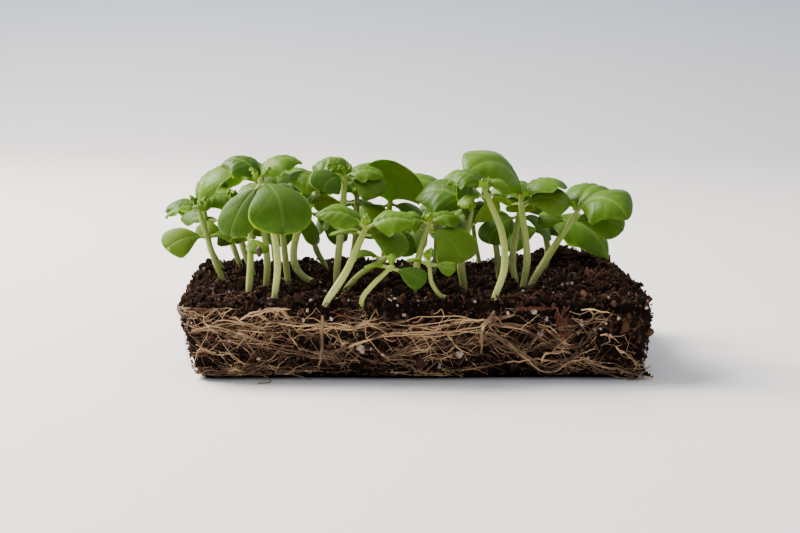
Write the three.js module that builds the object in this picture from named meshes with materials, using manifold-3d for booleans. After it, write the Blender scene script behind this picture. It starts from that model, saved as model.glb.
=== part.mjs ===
// A block of root-bound potting soil, lifted out of its tray, with young basil seedlings growing on it.
// Millimetres, +Z up. The origin is the middle of the flat underside, +X runs along the long side
// and -Y is the front face.

import * as THREE from 'three';
import { mergeVertices } from 'three/addons/utils/BufferGeometryUtils.js';
import Module from 'manifold-3d';

const wasm = await Module();
wasm.setup();

// The soil block.
const BLOCK_LENGTH = 118;
const BLOCK_DEPTH = 72;
const SOIL_TOP = 20.5;
const WALL_TOP = 17.5;
const CHAMFER_HEIGHT = 2.5;
const TOP_EDGE_INSET = 0.5;
const TOP_EDGE_DROP = 0.6;
const WALL_INSET = 3;
const FOOT_INSET = 6;
const CORNER_RADIUS = 4;
const CORNER_INSET_SHARE = 0.5;
const CORNER_STEPS = 2;
const SIDE_BOW = 0.5;
const RIGHT_BULGE = 1.6;
const RIGHT_FLARE = 0.6;
const RIGHT_SHARPNESS = 4;
const SOIL_STEPS = { long: 34, short: 20 };
const TOP_RING_COUNT = 16;
const TOP_RING_OUTER = 0.965;
const TOP_RING_INNER = 0.06;

// Lumps and hollows of the top of the soil: middle x and y, reach in x and y, height.
const LUMPS = [
  [46, 30, 13, 9, 4.8],
  [56, -6, 9, 22, 1.8],
  [-57, 4, 5, 14, 1.6],
  [-12.5, -37, 5, 4, -1.4],
  [6, -37, 6, 4, 0.5],
  [22, 8, 14, 9, -0.9],
  [-34, 12, 12, 10, 0.8],
];

// Crumbs about 7 mm apart: turns per millimetre in x and y, and phase. The third wave is the finer one.
const CRUMB_HEIGHT = 0.8;
const CRUMB_WAVES = [[0.71, 0.4, 0], [-0.22, 0.93, 1.3], [1.27, -0.8, 0]];
const FINE_CRUMB_SHARE = 0.6;

// The roots that bind the sides of the block.
const ROOT_RADIUS = 0.5;
const ROOT_GAP = 0.3;
const ROOT_STANDOFF = 1.5;
const ROOT_SIDES = 3;
const ROOT_STEPS = { long: 10, short: 6 };
const ROOT_SEED = 4127;
const ROOT_LOOP_HEIGHTS = [4.6, 8, 11.2, 14];
const ROOT_WAVE = 1.1;
const ROOT_RIPPLE = 0.6;
const ROOT_RIPPLES = 11;
const SHORT_ROOTS = 10;
const SHORT_ROOT_FROM = [4, 13];
const SHORT_ROOT_TO = [5, 14];
const SHORT_ROOT_STEPS = [3, 7];
const TAP_ROOT_PLACES = [0.08, 0.5, 0.76, 0.88];
const TAP_ROOT_FOOT = 3;
const TAP_ROOT_HEAD = 16;
const TAP_ROOT_SWELL = 1.4;

// Stems.
const STEM_SIDES = 5;
const STEM_STEPS_PER_BEND = 2;
const STEM_SINK = 4.5;
const STEM_LEAN = 0.25;
const STEM_END_SHARE = 0.96;
const STEM_SAMPLES = 24;
const STEM_TAPER = 0.86;
const HOLE_GAP = 0.3;
const CROWN_GAP = 0.45;

// Leaves. A seed leaf is a broad wedge with a notched end, a true leaf is oval and domed.
const BLADE_THICKNESS = 0.8;
const PETIOLE_WIDTH = 1.1;
const STALK_SIDE_SHARE = 0.05;
const SHOOT_WIDTH = 1.5;
const SHOOT_SIDES = 5;
const SHOOT_FOOT_SHARE = 0.42;
const SHOOT_TIP_SHARE = 0.45;
const SHOOT_OVERRUN = 0.6;
const CROWN_RISE = 1.45;
const SEED_WIDEST = 0.68;
const SEED_SWELL = 0.85;
const SEED_BLUNTNESS = 2.6;
const TRUE_WIDEST_POWER = 0.82;
const TRUE_FULLNESS = 0.72;
const LEAF_KINDS = {
  seed: { petiole: 2, cup: 0.16, notch: 0.1, rows: [0.22, 0.55, 0.94], columns: 3 },
  true: { petiole: 2, cup: 0.34, notch: 0, rows: [0.14, 0.45, 0.8], columns: 5 },
  young: { petiole: 1.2, cup: 0.3, notch: 0, rows: [0.15, 0.45, 0.8], columns: 3 },
};

// Each seedling: the bends of its stem, its stem's thickness, the length of shoot above the seed leaves,
// and its leaves. A leaf is its kind, azimuth, rise, length, width, bend along its length and roll.
const SEEDLINGS = [
  {
    stem: [[-50, -6], [-52.5, -7, 27], [-54, -7, 32]], thick: 1.8, shoot: 8,
    leaves: [['seed', 195, 5, 10, 9.5, 50, -50], ['seed', 10, 15, 8, 7, 50, 25],
      ['true', 60, 82, 17, 15, 105, -25], ['true', 205, 10, 8, 6, 60, 15]],
  },
  {
    stem: [[-52, 14], [-55.5, 14, 27], [-56.5, 13, 34]], thick: 2, shoot: 3,
    leaves: [['seed', 100, 10, 9, 8, 50, 0], ['seed', -80, 0, 8, 7, 60, 0],
      ['true', 178, 32, 10.5, 9, 85, -20], ['true', 20, 60, 11, 9, 90, 10]],
  },
  {
    stem: [[-48, 25], [-51, 26, 29], [-53, 27, 37]], thick: 1.9, shoot: 3,
    leaves: [['seed', 10, -10, 12, 11, 55, 35], ['seed', 185, -10, 12, 10, 55, -35],
      ['true', 95, 50, 14, 12, 90, 0], ['true', -60, 60, 14, 12, 100, 0]],
  },
  {
    stem: [[-43, 6], [-46, 7, 29], [-48, 9, 37]], thick: 2.1, shoot: 3,
    leaves: [['seed', -30, -10, 12, 10, 55, 30], ['seed', 160, -10, 12, 10, 55, -30],
      ['true', 20, 50, 14, 12, 100, 10], ['true', 200, 50, 13, 11, 90, -10]],
  },
  {
    stem: [[-38, 27], [-39, 29, 30], [-40, 30, 38]], thick: 1.9, shoot: 3,
    leaves: [['seed', 15, -15, 13, 12, 55, 40], ['seed', 200, -15, 13, 12, 55, -40],
      ['true', -10, 60, 16, 14, 110, 10], ['true', 165, 60, 15, 13, 100, -10]],
  },
  {
    stem: [[-38.5, -14], [-38, -15, 28], [-39, -15, 37.5]], thick: 2, shoot: 9,
    leaves: [['seed', 188, 30, 8, 8, 120, -25], ['seed', 15, 10, 9, 8, 60, 20],
      ['true', 165, 80, 13, 12, 130, -20], ['true', 15, 75, 14, 11, 115, 15]],
  },
  {
    stem: [[-35.5, -30], [-34.5, -31, 30], [-36, -31, 41], [-38, -31.5, 48.5]], thick: 2, shoot: 1,
    leaves: [['seed', -62, 0, 17.5, 16, 95, 12], ['seed', 212, -36, 14, 10, 45, -35]],
  },
  {
    stem: [[-42.5, -22], [-42, -21, 28], [-42, -20, 33]], thick: 2, shoot: 2,
    leaves: [['seed', 110, 10, 8, 7, 50, 0], ['seed', -70, 0, 7, 6, 50, 0]],
  },
  {
    stem: [[-33, -4], [-34, -3, 29], [-35, -2, 38]], thick: 2, shoot: 3,
    leaves: [['seed', 20, -15, 13, 11, 55, 35], ['seed', 200, -15, 12, 11, 55, -35],
      ['true', 100, 60, 14, 12, 100, 0], ['true', -70, 55, 13, 12, 90, 0]],
  },
  {
    stem: [[-24, -6], [-28.5, -8, 22.5], [-31.2, -9, 27], [-30.5, -9, 34], [-26, -9, 44]], thick: 2.2, shoot: 3,
    leaves: [['seed', 70, -10, 11, 10, 60, 0], ['seed', -100, -10, 5, 4, 20, 0],
      ['true', 225, 65, 14, 14, 135, -15], ['true', 60, 65, 13, 11, 100, 0]],
  },
  {
    stem: [[-23, 17], [-26, 17, 27], [-28, 17, 36]], thick: 1.9, shoot: 3,
    leaves: [['seed', 15, -15, 13, 12, 55, 40], ['seed', 190, -15, 13, 12, 55, -40],
      ['true', 100, 50, 16, 14, 90, 0], ['true', -80, 55, 15, 13, 100, 0]],
  },
  {
    stem: [[-20, 30], [-19, 30, 28], [-18.5, 31, 38]], thick: 1.9, shoot: 3,
    leaves: [['seed', 10, -15, 13, 12, 55, 40], ['seed', 195, -15, 13, 12, 55, -40],
      ['true', 150, 40, 16, 15, 100, -20], ['true', -30, 45, 16, 15, 100, 20]],
  },
  {
    stem: [[-20, -11], [-19.5, -12, 28], [-18.5, -13, 38], [-17.8, -13, 47]], thick: 2.1, shoot: 1.5,
    leaves: [['seed', 200, 30, 9.5, 9, 95, -45], ['seed', -15, 10, 9, 9, 70, 45],
      ['young', 150, 40, 7, 7, 80, -20], ['young', 5, 35, 10, 8, 80, 25]],
  },
  {
    stem: [[-17, 8], [-15, 8, 29], [-14.5, 6, 40]], thick: 2, shoot: 1,
    leaves: [['seed', 150, -10, 12, 11, 60, -30], ['seed', -40, -10, 12, 10, 60, 20],
      ['true', -5, 66, 23, 22, 155, -42], ['true', 170, 60, 15, 13, 100, -15]],
  },
  {
    stem: [[-22.5, -34], [-17.3, -34.5, 28], [-13.5, -35, 36.5]], thick: 2.1, shoot: 1.5,
    leaves: [['seed', -12, -18, 10, 9, 35, 40], ['seed', 130, 10, 9, 8, 40, 0],
      ['true', 178, 45, 12, 9, 75, -35], ['true', -5, 32, 11, 9.5, 60, 35]],
  },
  {
    stem: [[-18, -19], [-14, -20, 25], [-9, -21, 28.5]], thick: 1.8, shoot: 1,
    leaves: [['seed', 5, 40, 8, 7, 30, 60], ['seed', 175, 20, 7, 6, 60, -10]],
  },
  {
    stem: [[-7, 22], [-6, 22, 29], [-5, 21, 38]], thick: 2, shoot: 3,
    leaves: [['seed', 15, -15, 13, 12, 55, 40], ['seed', 195, -15, 13, 12, 55, -40],
      ['true', -5, 45, 17, 15, 110, 25], ['true', 175, 45, 17, 15, 110, -25]],
  },
  {
    stem: [[-13.5, -34.5], [-13, -36, 22], [-10.5, -38, 25.5], [-7.2, -39.5, 29]], thick: 1.5, shoot: 0.5,
    leaves: [['seed', -8, -15, 7.5, 6.5, 20, 45], ['seed', 140, 35, 5, 4, 50, 0]],
  },
  {
    stem: [[1, -22], [1, -23, 28], [3, -24, 36]], thick: 2.1, shoot: 1.5,
    leaves: [['seed', -25, -12, 11.5, 12, 60, 50], ['seed', 160, 10, 9, 8, 60, -20],
      ['young', 190, 35, 8.5, 8, 100, -35], ['young', 15, 40, 10, 8, 90, 20]],
  },
  {
    stem: [[9, -31], [6.5, -32, 21.8], [4.4, -32.5, 25], [3.8, -33, 28.5]], thick: 1.3, shoot: 0.5,
    leaves: [['seed', -15, -5, 5, 4.5, 20, 45], ['seed', 165, 20, 4, 4, 40, 0]],
  },
  {
    stem: [[14, -14], [13, -15, 28], [14.5, -15, 35.5]], thick: 2.4, shoot: 4,
    leaves: [['seed', 100, 82, 11.5, 9, 5, 45], ['seed', 15, 42, 9, 8, 10, -55],
      ['true', 172, 56, 17, 17, 105, -35], ['true', 60, 40, 12, 10, 80, 0]],
  },
  {
    stem: [[22, 30], [20.5, 30, 27], [19, 29, 37]], thick: 1.6, shoot: 3,
    leaves: [['seed', 10, -15, 13, 12, 55, 40], ['seed', 190, -15, 13, 12, 55, -40],
      ['true', 100, 60, 14, 12, 90, 0], ['true', -80, 60, 16, 14, 100, 0]],
  },
  {
    stem: [[25, 2], [24, 2, 29], [22, 2, 38]], thick: 2, shoot: 3,
    leaves: [['seed', 160, -15, 12, 11, 55, -35], ['seed', -20, -15, 12, 11, 55, 35],
      ['true', 5, 50, 16, 14, 100, 10], ['true', 170, 45, 16, 14, 100, 0]],
  },
  {
    stem: [[20, -33.5], [22.5, -34.5, 29], [21.8, -34, 38], [18.5, -33.5, 46]], thick: 2, shoot: 1,
    leaves: [['seed', -170, 0, 6, 5, 60, -20], ['seed', 30, 0, 6, 5, 60, 0],
      ['true', 160, 62, 11, 10, 130, -20], ['true', 60, 40, 8, 8, 90, 0]],
  },
  {
    stem: [[29, -3], [28, -2, 26.5], [29.5, -1, 37]], thick: 2.1, shoot: 3,
    leaves: [['seed', 20, -10, 11, 9, 60, 35], ['seed', 200, -10, 11, 9, 60, -35],
      ['true', 120, 60, 14, 12, 110, 0]],
  },
  {
    stem: [[29.5, -14], [30.5, -15, 29], [29, -15, 41]], thick: 2.1, shoot: 1.5,
    leaves: [['seed', -2, 30, 11.5, 10, 75, 45], ['seed', 120, 10, 9, 8, 60, 0],
      ['true', 207, 84, 22, 21, 130, -38], ['true', 30, 50, 15, 13, 110, 0]],
  },
  {
    stem: [[32, -9], [37, -10, 29], [41.5, -12, 37]], thick: 2.2, shoot: 3,
    leaves: [['seed', -4, 15, 13, 10, 55, 50], ['seed', 165, 20, 7, 6.5, 20, -40],
      ['true', -40, 48, 17, 16, 115, 30], ['true', 45, 75, 17, 15, 120, 10]],
  },
  {
    stem: [[7, 10], [8, 11, 27], [8, 12, 36]], thick: 2, shoot: 2,
    leaves: [['seed', 15, -15, 13, 12, 55, 40], ['seed', 190, -15, 13, 12, 55, -40],
      ['true', -100, 50, 11, 10, 110, 0]],
  },
  {
    stem: [[40, 19], [40.5, 19, 26], [39.5, 18, 31]], thick: 2.1, shoot: 2,
    leaves: [['seed', 185, 0, 12, 10, 50, -40], ['seed', 70, 10, 11, 10, 60, 0],
      ['true', -12, 15, 22, 15, 95, 30], ['true', 100, 80, 17, 15, 125, 0]],
  },
];

// How the leaves make room for each other.
const SAMPLE_SPACING = 1.6;
const LEAF_CLEARANCE = 2.3;
const STEM_CLEARANCE = 1.2;
const OWN_STEM_CLEARANCE = 0.8;
const SHOOT_ROOM = 0.4;
const SIBLING_CLEARANCE = 1.2;
const SIBLING_FREE = 0.35;
const SOIL_CLEARANCE = 1.2;
const TURNS = [0, 8, -8, 16, -16, 24, -24, 34, -34, 46, -46];
const TIPS = [0, 10, -10, 20, -20, 32];
const LEAF_SCALES = [1, 0.85, 0.7, 0.55];

const X_AXIS = new THREE.Vector3(1, 0, 0);
const Y_AXIS = new THREE.Vector3(0, 1, 0);
const Z_AXIS = new THREE.Vector3(0, 0, 1);
const radians = THREE.MathUtils.degToRad;

// The mesh of a solid from its corners and its triangles.
function solidGeometry(corners, triangles) {
  const geometry = new THREE.BufferGeometry();
  geometry.setAttribute('position', new THREE.Float32BufferAttribute(corners.flatMap((p) => [p.x, p.y, p.z]), 3));
  geometry.setIndex(triangles.flat());
  return geometry;
}

// A solid that can be joined and cut.
function toManifold(geometry) {
  const bare = geometry.clone();
  bare.deleteAttribute('normal');
  bare.deleteAttribute('uv');
  const merged = mergeVertices(bare, 1e-4);
  return new wasm.Manifold(new wasm.Mesh({
    numProp: 3,
    vertProperties: new Float32Array(merged.attributes.position.array),
    triVerts: new Uint32Array(merged.index.array),
  }));
}

function toGeometry(manifold) {
  const mesh = manifold.getMesh();
  const geometry = new THREE.BufferGeometry();
  geometry.setAttribute('position', new THREE.BufferAttribute(new Float32Array(mesh.vertProperties), 3));
  geometry.setIndex(new THREE.BufferAttribute(new Uint32Array(mesh.triVerts), 1));
  return geometry;
}

// All pieces joined, without any loose scrap.
function joinPieces(geometries) {
  let joined = toManifold(geometries[0]);
  for (const geometry of geometries.slice(1)) {
    joined = joined.add(toManifold(geometry));
  }
  const bodies = joined.decompose();
  bodies.sort((a, b) => b.volume() - a.volume());
  return bodies[0];
}

// Triangles between two rows of a strip that may hold different numbers of corners.
function zipRows(lower, upper) {
  const triangles = [];
  let i = 0;
  let j = 0;
  while (i < lower.length - 1 || j < upper.length - 1) {
    const lowerShare = (i + 1) / Math.max(lower.length - 1, 1);
    const upperShare = (j + 1) / Math.max(upper.length - 1, 1);
    if (j === upper.length - 1 || (i < lower.length - 1 && lowerShare <= upperShare)) {
      triangles.push([lower[i], lower[i + 1], upper[j]]);
      i += 1;
    } else {
      triangles.push([lower[i], upper[j + 1], upper[j]]);
      j += 1;
    }
  }
  return triangles;
}

// A closed tube through a list of points, with a radius at each point and its first corners square to a reference.
function closedTube(points, radii, sides, reference = Y_AXIS) {
  const corners = [];
  const triangles = [];
  points.forEach((point, k) => {
    const before = points[Math.max(k - 1, 0)];
    const after = points[Math.min(k + 1, points.length - 1)];
    const along = after.clone().sub(before).normalize();
    const across = Math.abs(along.dot(reference)) < 0.9 ? reference : X_AXIS;
    const side = across.clone().cross(along).normalize();
    const up = along.clone().cross(side);
    for (let s = 0; s < sides; s += 1) {
      const angle = (2 * Math.PI * s) / sides;
      const offset = side.clone().multiplyScalar(Math.cos(angle)).addScaledVector(up, Math.sin(angle));
      corners.push(point.clone().addScaledVector(offset, radii[k]));
    }
  });
  for (let k = 0; k < points.length - 1; k += 1) {
    for (let s = 0; s < sides; s += 1) {
      const next = (s + 1) % sides;
      const a = k * sides + s;
      const b = k * sides + next;
      triangles.push([a, b, b + sides], [a, b + sides, a + sides]);
    }
  }
  const last = (points.length - 1) * sides;
  for (let s = 1; s < sides - 1; s += 1) {
    triangles.push([0, s + 1, s], [last, last + s, last + s + 1]);
  }
  return solidGeometry(corners, triangles);
}

// Repeatable draws between 0 and 1.
function makeDraw(seed) {
  let state = seed;
  return () => {
    state = (state * 16807) % 2147483647;
    return state / 2147483647;
  };
}

// Height of the soil at a place on its top.
function soilHeight(x, y) {
  let height = SOIL_TOP;
  for (const [middleX, middleY, reachX, reachY, rise] of LUMPS) {
    height += rise * Math.exp(-(((x - middleX) / reachX) ** 2) - ((y - middleY) / reachY) ** 2);
  }
  const [wave, crossWave, fineWave] = CRUMB_WAVES.map(([perX, perY, phase]) => Math.sin(perX * x + perY * y + phase));
  return height + CRUMB_HEIGHT * (wave * crossWave + FINE_CRUMB_SHARE * fineWave);
}

// Corners of the block's outline, drawn in by an inset, anticlockwise from the front right.
function blockOutline(inset, steps) {
  const corners = [];
  const halfLength = BLOCK_LENGTH / 2;
  const halfDepth = BLOCK_DEPTH / 2;
  const centres = [
    [halfLength - CORNER_RADIUS, -halfDepth + CORNER_RADIUS, -90, steps.short],
    [halfLength - CORNER_RADIUS, halfDepth - CORNER_RADIUS, 0, steps.long],
    [-halfLength + CORNER_RADIUS, halfDepth - CORNER_RADIUS, 90, steps.short],
    [-halfLength + CORNER_RADIUS, -halfDepth + CORNER_RADIUS, 180, steps.long],
  ];
  const shift = inset * CORNER_INSET_SHARE;
  const radius = CORNER_RADIUS - shift;
  centres.forEach(([x, y, start, sideSteps], k) => {
    const shiftX = -Math.sign(x) * shift;
    const shiftY = -Math.sign(y) * shift;
    for (let s = 0; s <= CORNER_STEPS; s += 1) {
      const angle = radians(start + (90 * s) / CORNER_STEPS);
      corners.push([x + shiftX + radius * Math.cos(angle), y + shiftY + radius * Math.sin(angle)]);
    }
    const from = corners[corners.length - 1];
    const next = centres[(k + 1) % centres.length];
    const nextAngle = radians(next[2]);
    const to = [
      next[0] - Math.sign(next[0]) * shift + radius * Math.cos(nextAngle),
      next[1] - Math.sign(next[1]) * shift + radius * Math.sin(nextAngle),
    ];
    for (let s = 1; s < sideSteps; s += 1) {
      const share = s / sideSteps;
      const bow = SIDE_BOW * Math.sin(Math.PI * share * 3 + k) * Math.sin(Math.PI * share);
      const outX = Math.abs(to[1] - from[1]) > Math.abs(to[0] - from[0]) ? Math.sign(from[0]) * bow : 0;
      const outY = outX === 0 ? Math.sign(from[1]) * bow : 0;
      corners.push([from[0] + (to[0] - from[0]) * share + outX, from[1] + (to[1] - from[1]) * share + outY]);
    }
  });
  return corners.map(([x, y]) => {
    const rightness = (Math.max(x, 0) / (BLOCK_LENGTH / 2)) ** RIGHT_SHARPNESS;
    return [x + rightness * (RIGHT_BULGE + RIGHT_FLARE * inset), y];
  });
}

// Inset of the side wall at a height between the chamfer and the top of the wall.
function wallInset(z) {
  return WALL_INSET * (1 - (z - CHAMFER_HEIGHT) / (WALL_TOP - CHAMFER_HEIGHT));
}

function makeSoil(stemHoles) {
  const corners = [];
  const triangles = [];
  const addRing = (inset, height, share = 1) => {
    const ring = blockOutline(inset, SOIL_STEPS).map(([x, y]) => {
      corners.push(new THREE.Vector3(x * share, y * share, height(x * share, y * share)));
      return corners.length - 1;
    });
    return [...ring, ring[0]];
  };
  const topRings = Array.from({ length: TOP_RING_COUNT }, (_, k) => (
    TOP_RING_OUTER + ((TOP_RING_INNER - TOP_RING_OUTER) * k) / (TOP_RING_COUNT - 1)
  ));
  const rings = [
    addRing(FOOT_INSET, () => 0),
    addRing(WALL_INSET, () => CHAMFER_HEIGHT),
    addRing(0, () => WALL_TOP),
    addRing(TOP_EDGE_INSET, (x, y) => soilHeight(x, y) - TOP_EDGE_DROP),
    ...topRings.map((share) => addRing(TOP_EDGE_INSET, soilHeight, share)),
  ];
  for (let k = 0; k < rings.length - 1; k += 1) {
    for (let s = 0; s < rings[k].length - 1; s += 1) {
      const [a, b, c, d] = [rings[k][s], rings[k][s + 1], rings[k + 1][s + 1], rings[k + 1][s]];
      triangles.push([a, b, c], [a, c, d]);
    }
  }
  const middle = corners.length;
  corners.push(new THREE.Vector3(0, 0, soilHeight(0, 0)));
  const innermost = rings[rings.length - 1];
  for (let s = 0; s < innermost.length - 1; s += 1) {
    triangles.push([innermost[s], innermost[s + 1], middle]);
  }
  const foot = rings[0].slice(0, -1);
  const footOutline = foot.map((k) => new THREE.Vector2(corners[k].x, corners[k].y));
  for (const [a, b, c] of THREE.ShapeUtils.triangulateShape(footOutline, [])) {
    triangles.push([foot[a], foot[c], foot[b]]);
  }
  let soil = toManifold(solidGeometry(corners, triangles));
  for (const hole of stemHoles) {
    soil = soil.subtract(toManifold(hole));
  }
  const bodies = soil.decompose();
  bodies.sort((a, b) => b.volume() - a.volume());
  return toGeometry(bodies[0]);
}

// A root lying on the side wall, from one outline corner to another, at a height for each corner.
function rootOnWall(first, count, heightAt) {
  const points = [];
  for (let step = 0; step <= count; step += 1) {
    const z = heightAt(step);
    const outline = blockOutline(wallInset(z), ROOT_STEPS);
    const k = (first + step) % outline.length;
    const before = outline[(k + outline.length - 1) % outline.length];
    const after = outline[(k + 1) % outline.length];
    const outward = new THREE.Vector3(after[1] - before[1], before[0] - after[0], 0).normalize();
    const point = new THREE.Vector3(outline[k][0], outline[k][1], z);
    points.push(point.addScaledVector(outward, ROOT_GAP + ROOT_RADIUS * ROOT_STANDOFF));
  }
  return points;
}

function makeRoots() {
  const corners = blockOutline(0, ROOT_STEPS).length;
  const draw = makeDraw(ROOT_SEED);
  const pieces = [];
  const drawBetween = ([low, high]) => low + (high - low) * draw();
  const addRoot = (points) => {
    pieces.push(closedTube(points, points.map(() => ROOT_RADIUS), ROOT_SIDES, Z_AXIS));
  };
  ROOT_LOOP_HEIGHTS.forEach((height, k) => {
    const waves = 2 + k;
    const phase = 2 * Math.PI * draw();
    const heightAt = (step) => {
      const turn = (2 * Math.PI * step) / corners;
      return height + ROOT_WAVE * Math.sin(waves * turn + phase) + ROOT_RIPPLE * Math.sin(ROOT_RIPPLES * turn + 2 * phase);
    };
    addRoot(rootOnWall(0, corners - 1, heightAt));
  });
  for (let n = 0; n < SHORT_ROOTS; n += 1) {
    const from = drawBetween(SHORT_ROOT_FROM);
    const to = drawBetween(SHORT_ROOT_TO);
    const length = Math.floor(drawBetween(SHORT_ROOT_STEPS));
    const first = Math.floor(corners * draw());
    addRoot(rootOnWall(first, length, (step) => from + ((to - from) * step) / length));
  }
  for (const place of TAP_ROOT_PLACES) {
    const first = Math.floor(corners * place);
    const foot = rootOnWall(first, 0, () => TAP_ROOT_FOOT)[0];
    const head = rootOnWall(first, 0, () => TAP_ROOT_HEAD)[0];
    pieces.push(closedTube([foot, head], [ROOT_RADIUS, TAP_ROOT_SWELL * ROOT_RADIUS], ROOT_SIDES));
  }
  return toGeometry(joinPieces(pieces));
}

// The points of a stem's middle line: under the soil, at its surface, and up to the seed leaves.
function stemCurve(seedling) {
  const [[baseX, baseY], ...bends] = seedling.stem;
  const base = new THREE.Vector3(baseX, baseY, soilHeight(baseX, baseY));
  const upper = bends.map((bend) => new THREE.Vector3(...bend));
  const under = base.clone().lerp(upper[0], -STEM_LEAN);
  under.z = base.z - STEM_SINK;
  return new THREE.CatmullRomCurve3([under, base, ...upper], false, 'catmullrom', 0.5);
}

function stemTube(seedling, growth) {
  const curve = stemCurve(seedling);
  const steps = STEM_STEPS_PER_BEND * seedling.stem.length;
  const points = curve.getPoints(steps);
  const radii = points.map((_, k) => (seedling.thick / 2) * (1 + (STEM_TAPER - 1) * (k / steps)) + growth);
  points[0].z -= growth;
  return closedTube(points, radii, STEM_SIDES);
}

// The end of the stem, and the direction in which it points.
function stemTop(seedling) {
  const curve = stemCurve(seedling);
  const end = curve.getPoint(1);
  const along = end.clone().sub(curve.getPoint(STEM_END_SHARE)).normalize();
  return { end, along };
}

// Half of a blade's width at a share of its length, as a share of its greatest half width.
function bladeHalfWidth(kind, share) {
  if (kind === 'seed') {
    if (share < SEED_WIDEST) {
      return Math.sin((Math.PI / 2) * (share / SEED_WIDEST)) ** SEED_SWELL;
    }
    return Math.sqrt(Math.max(0, 1 - ((share - SEED_WIDEST) / (1 - SEED_WIDEST)) ** SEED_BLUNTNESS));
  }
  return Math.max(0, Math.sin(Math.PI * share ** TRUE_WIDEST_POWER)) ** TRUE_FULLNESS;
}

// A point of a leaf: along its blade, across it from -1 to 1, and raised from its middle sheet.
function leafPoint(leaf, share, across, lift = 0) {
  const { kind, azimuth, rise, length, width, bend, roll, start } = leaf;
  const shape = LEAF_KINDS[kind];
  const along = Math.max(share, 0);
  const drawn = share - shape.notch * (1 - across * across) * along ** 5;
  const slope = rise - bend * Math.max(drawn, 0);
  const reach = length * ((Math.sin(rise) - Math.sin(slope)) / bend);
  const climb = length * ((Math.cos(slope) - Math.cos(rise)) / bend);
  const stalk = shape.petiole * (Math.min(share, 0) + 1);
  const out = reach + stalk * Math.cos(rise);
  const up = climb + stalk * Math.sin(rise);
  const spine = new THREE.Vector3(Math.cos(azimuth) * out, Math.sin(azimuth) * out, up).add(start);
  const sideways = new THREE.Vector3(-Math.sin(azimuth), Math.cos(azimuth), 0);
  const normal = new THREE.Vector3(-Math.sin(slope) * Math.cos(azimuth), -Math.sin(slope) * Math.sin(azimuth), Math.cos(slope));
  const rolledSide = sideways.clone().multiplyScalar(Math.cos(roll)).addScaledVector(normal, Math.sin(roll));
  const rolledNormal = normal.clone().multiplyScalar(Math.cos(roll)).addScaledVector(sideways, -Math.sin(roll));
  const halfWidth = (width / 2) * bladeHalfWidth(kind, along);
  return spine.addScaledVector(rolledSide, halfWidth * across)
    .addScaledVector(rolledNormal, lift - shape.cup * halfWidth * across * across);
}

function makeLeaf(row, crown, shootTip) {
  const [kind, azimuth, rise, length, width, bend, roll] = row;
  return {
    kind,
    azimuth: radians(azimuth),
    rise: radians(rise),
    length,
    width,
    bend: radians(bend),
    roll: radians(roll),
    start: kind === 'seed' ? crown : shootTip,
  };
}

// Points spread over a leaf's stalk and blade, with their share of the blade's length.
function leafSamples(leaf) {
  const samples = [-1, -0.5].map((share) => ({ point: leafPoint(leaf, share, 0), share }));
  const rows = Math.ceil(leaf.length / SAMPLE_SPACING);
  const columns = Math.ceil(leaf.width / SAMPLE_SPACING / 2);
  for (let i = 0; i <= rows; i += 1) {
    for (let j = -columns; j <= columns; j += 1) {
      samples.push({ point: leafPoint(leaf, i / rows, j / columns), share: i / rows });
    }
  }
  return samples;
}

// Whether a leaf in this place is clear of the soil, the stems and the leaves already there.
function leafIsClear(leaf, owner, placed, stems) {
  const samples = leafSamples(leaf);
  for (const { point, share } of samples) {
    if (point.z < soilHeight(point.x, point.y) + SOIL_CLEARANCE && Math.abs(point.x) < BLOCK_LENGTH / 2) {
      return false;
    }
    for (const stem of stems) {
      if (stem.owner === owner && (stem.isShoot || share < 0)) {
        continue;
      }
      const reach = stem.radius + (stem.owner === owner ? OWN_STEM_CLEARANCE : STEM_CLEARANCE);
      if (stem.points.some((other) => other.distanceToSquared(point) < reach * reach)) {
        return false;
      }
    }
  }
  for (const other of placed) {
    const sibling = other.owner === owner;
    const clearance = sibling ? SIBLING_CLEARANCE : LEAF_CLEARANCE;
    const free = sibling ? SIBLING_FREE : -1;
    for (const { point, share } of samples) {
      if (share < free || point.distanceTo(other.middle) > other.reach + clearance) {
        continue;
      }
      const near = other.samples.some(
        (sample) => sample.share >= free && sample.point.distanceToSquared(point) < clearance * clearance,
      );
      if (near) {
        return false;
      }
    }
  }
  return true;
}

// Small turns and tips in increasing order.
function leafMoves() {
  const moves = TURNS.flatMap((turn) => TIPS.map((tip) => [turn, tip]));
  const size = ([turn, tip]) => turn * turn + 1.5 * tip * tip + (turn < 0 ? 0.1 : 0) + (tip < 0 ? 0.2 : 0);
  return moves.sort((a, b) => size(a) - size(b));
}

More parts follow.
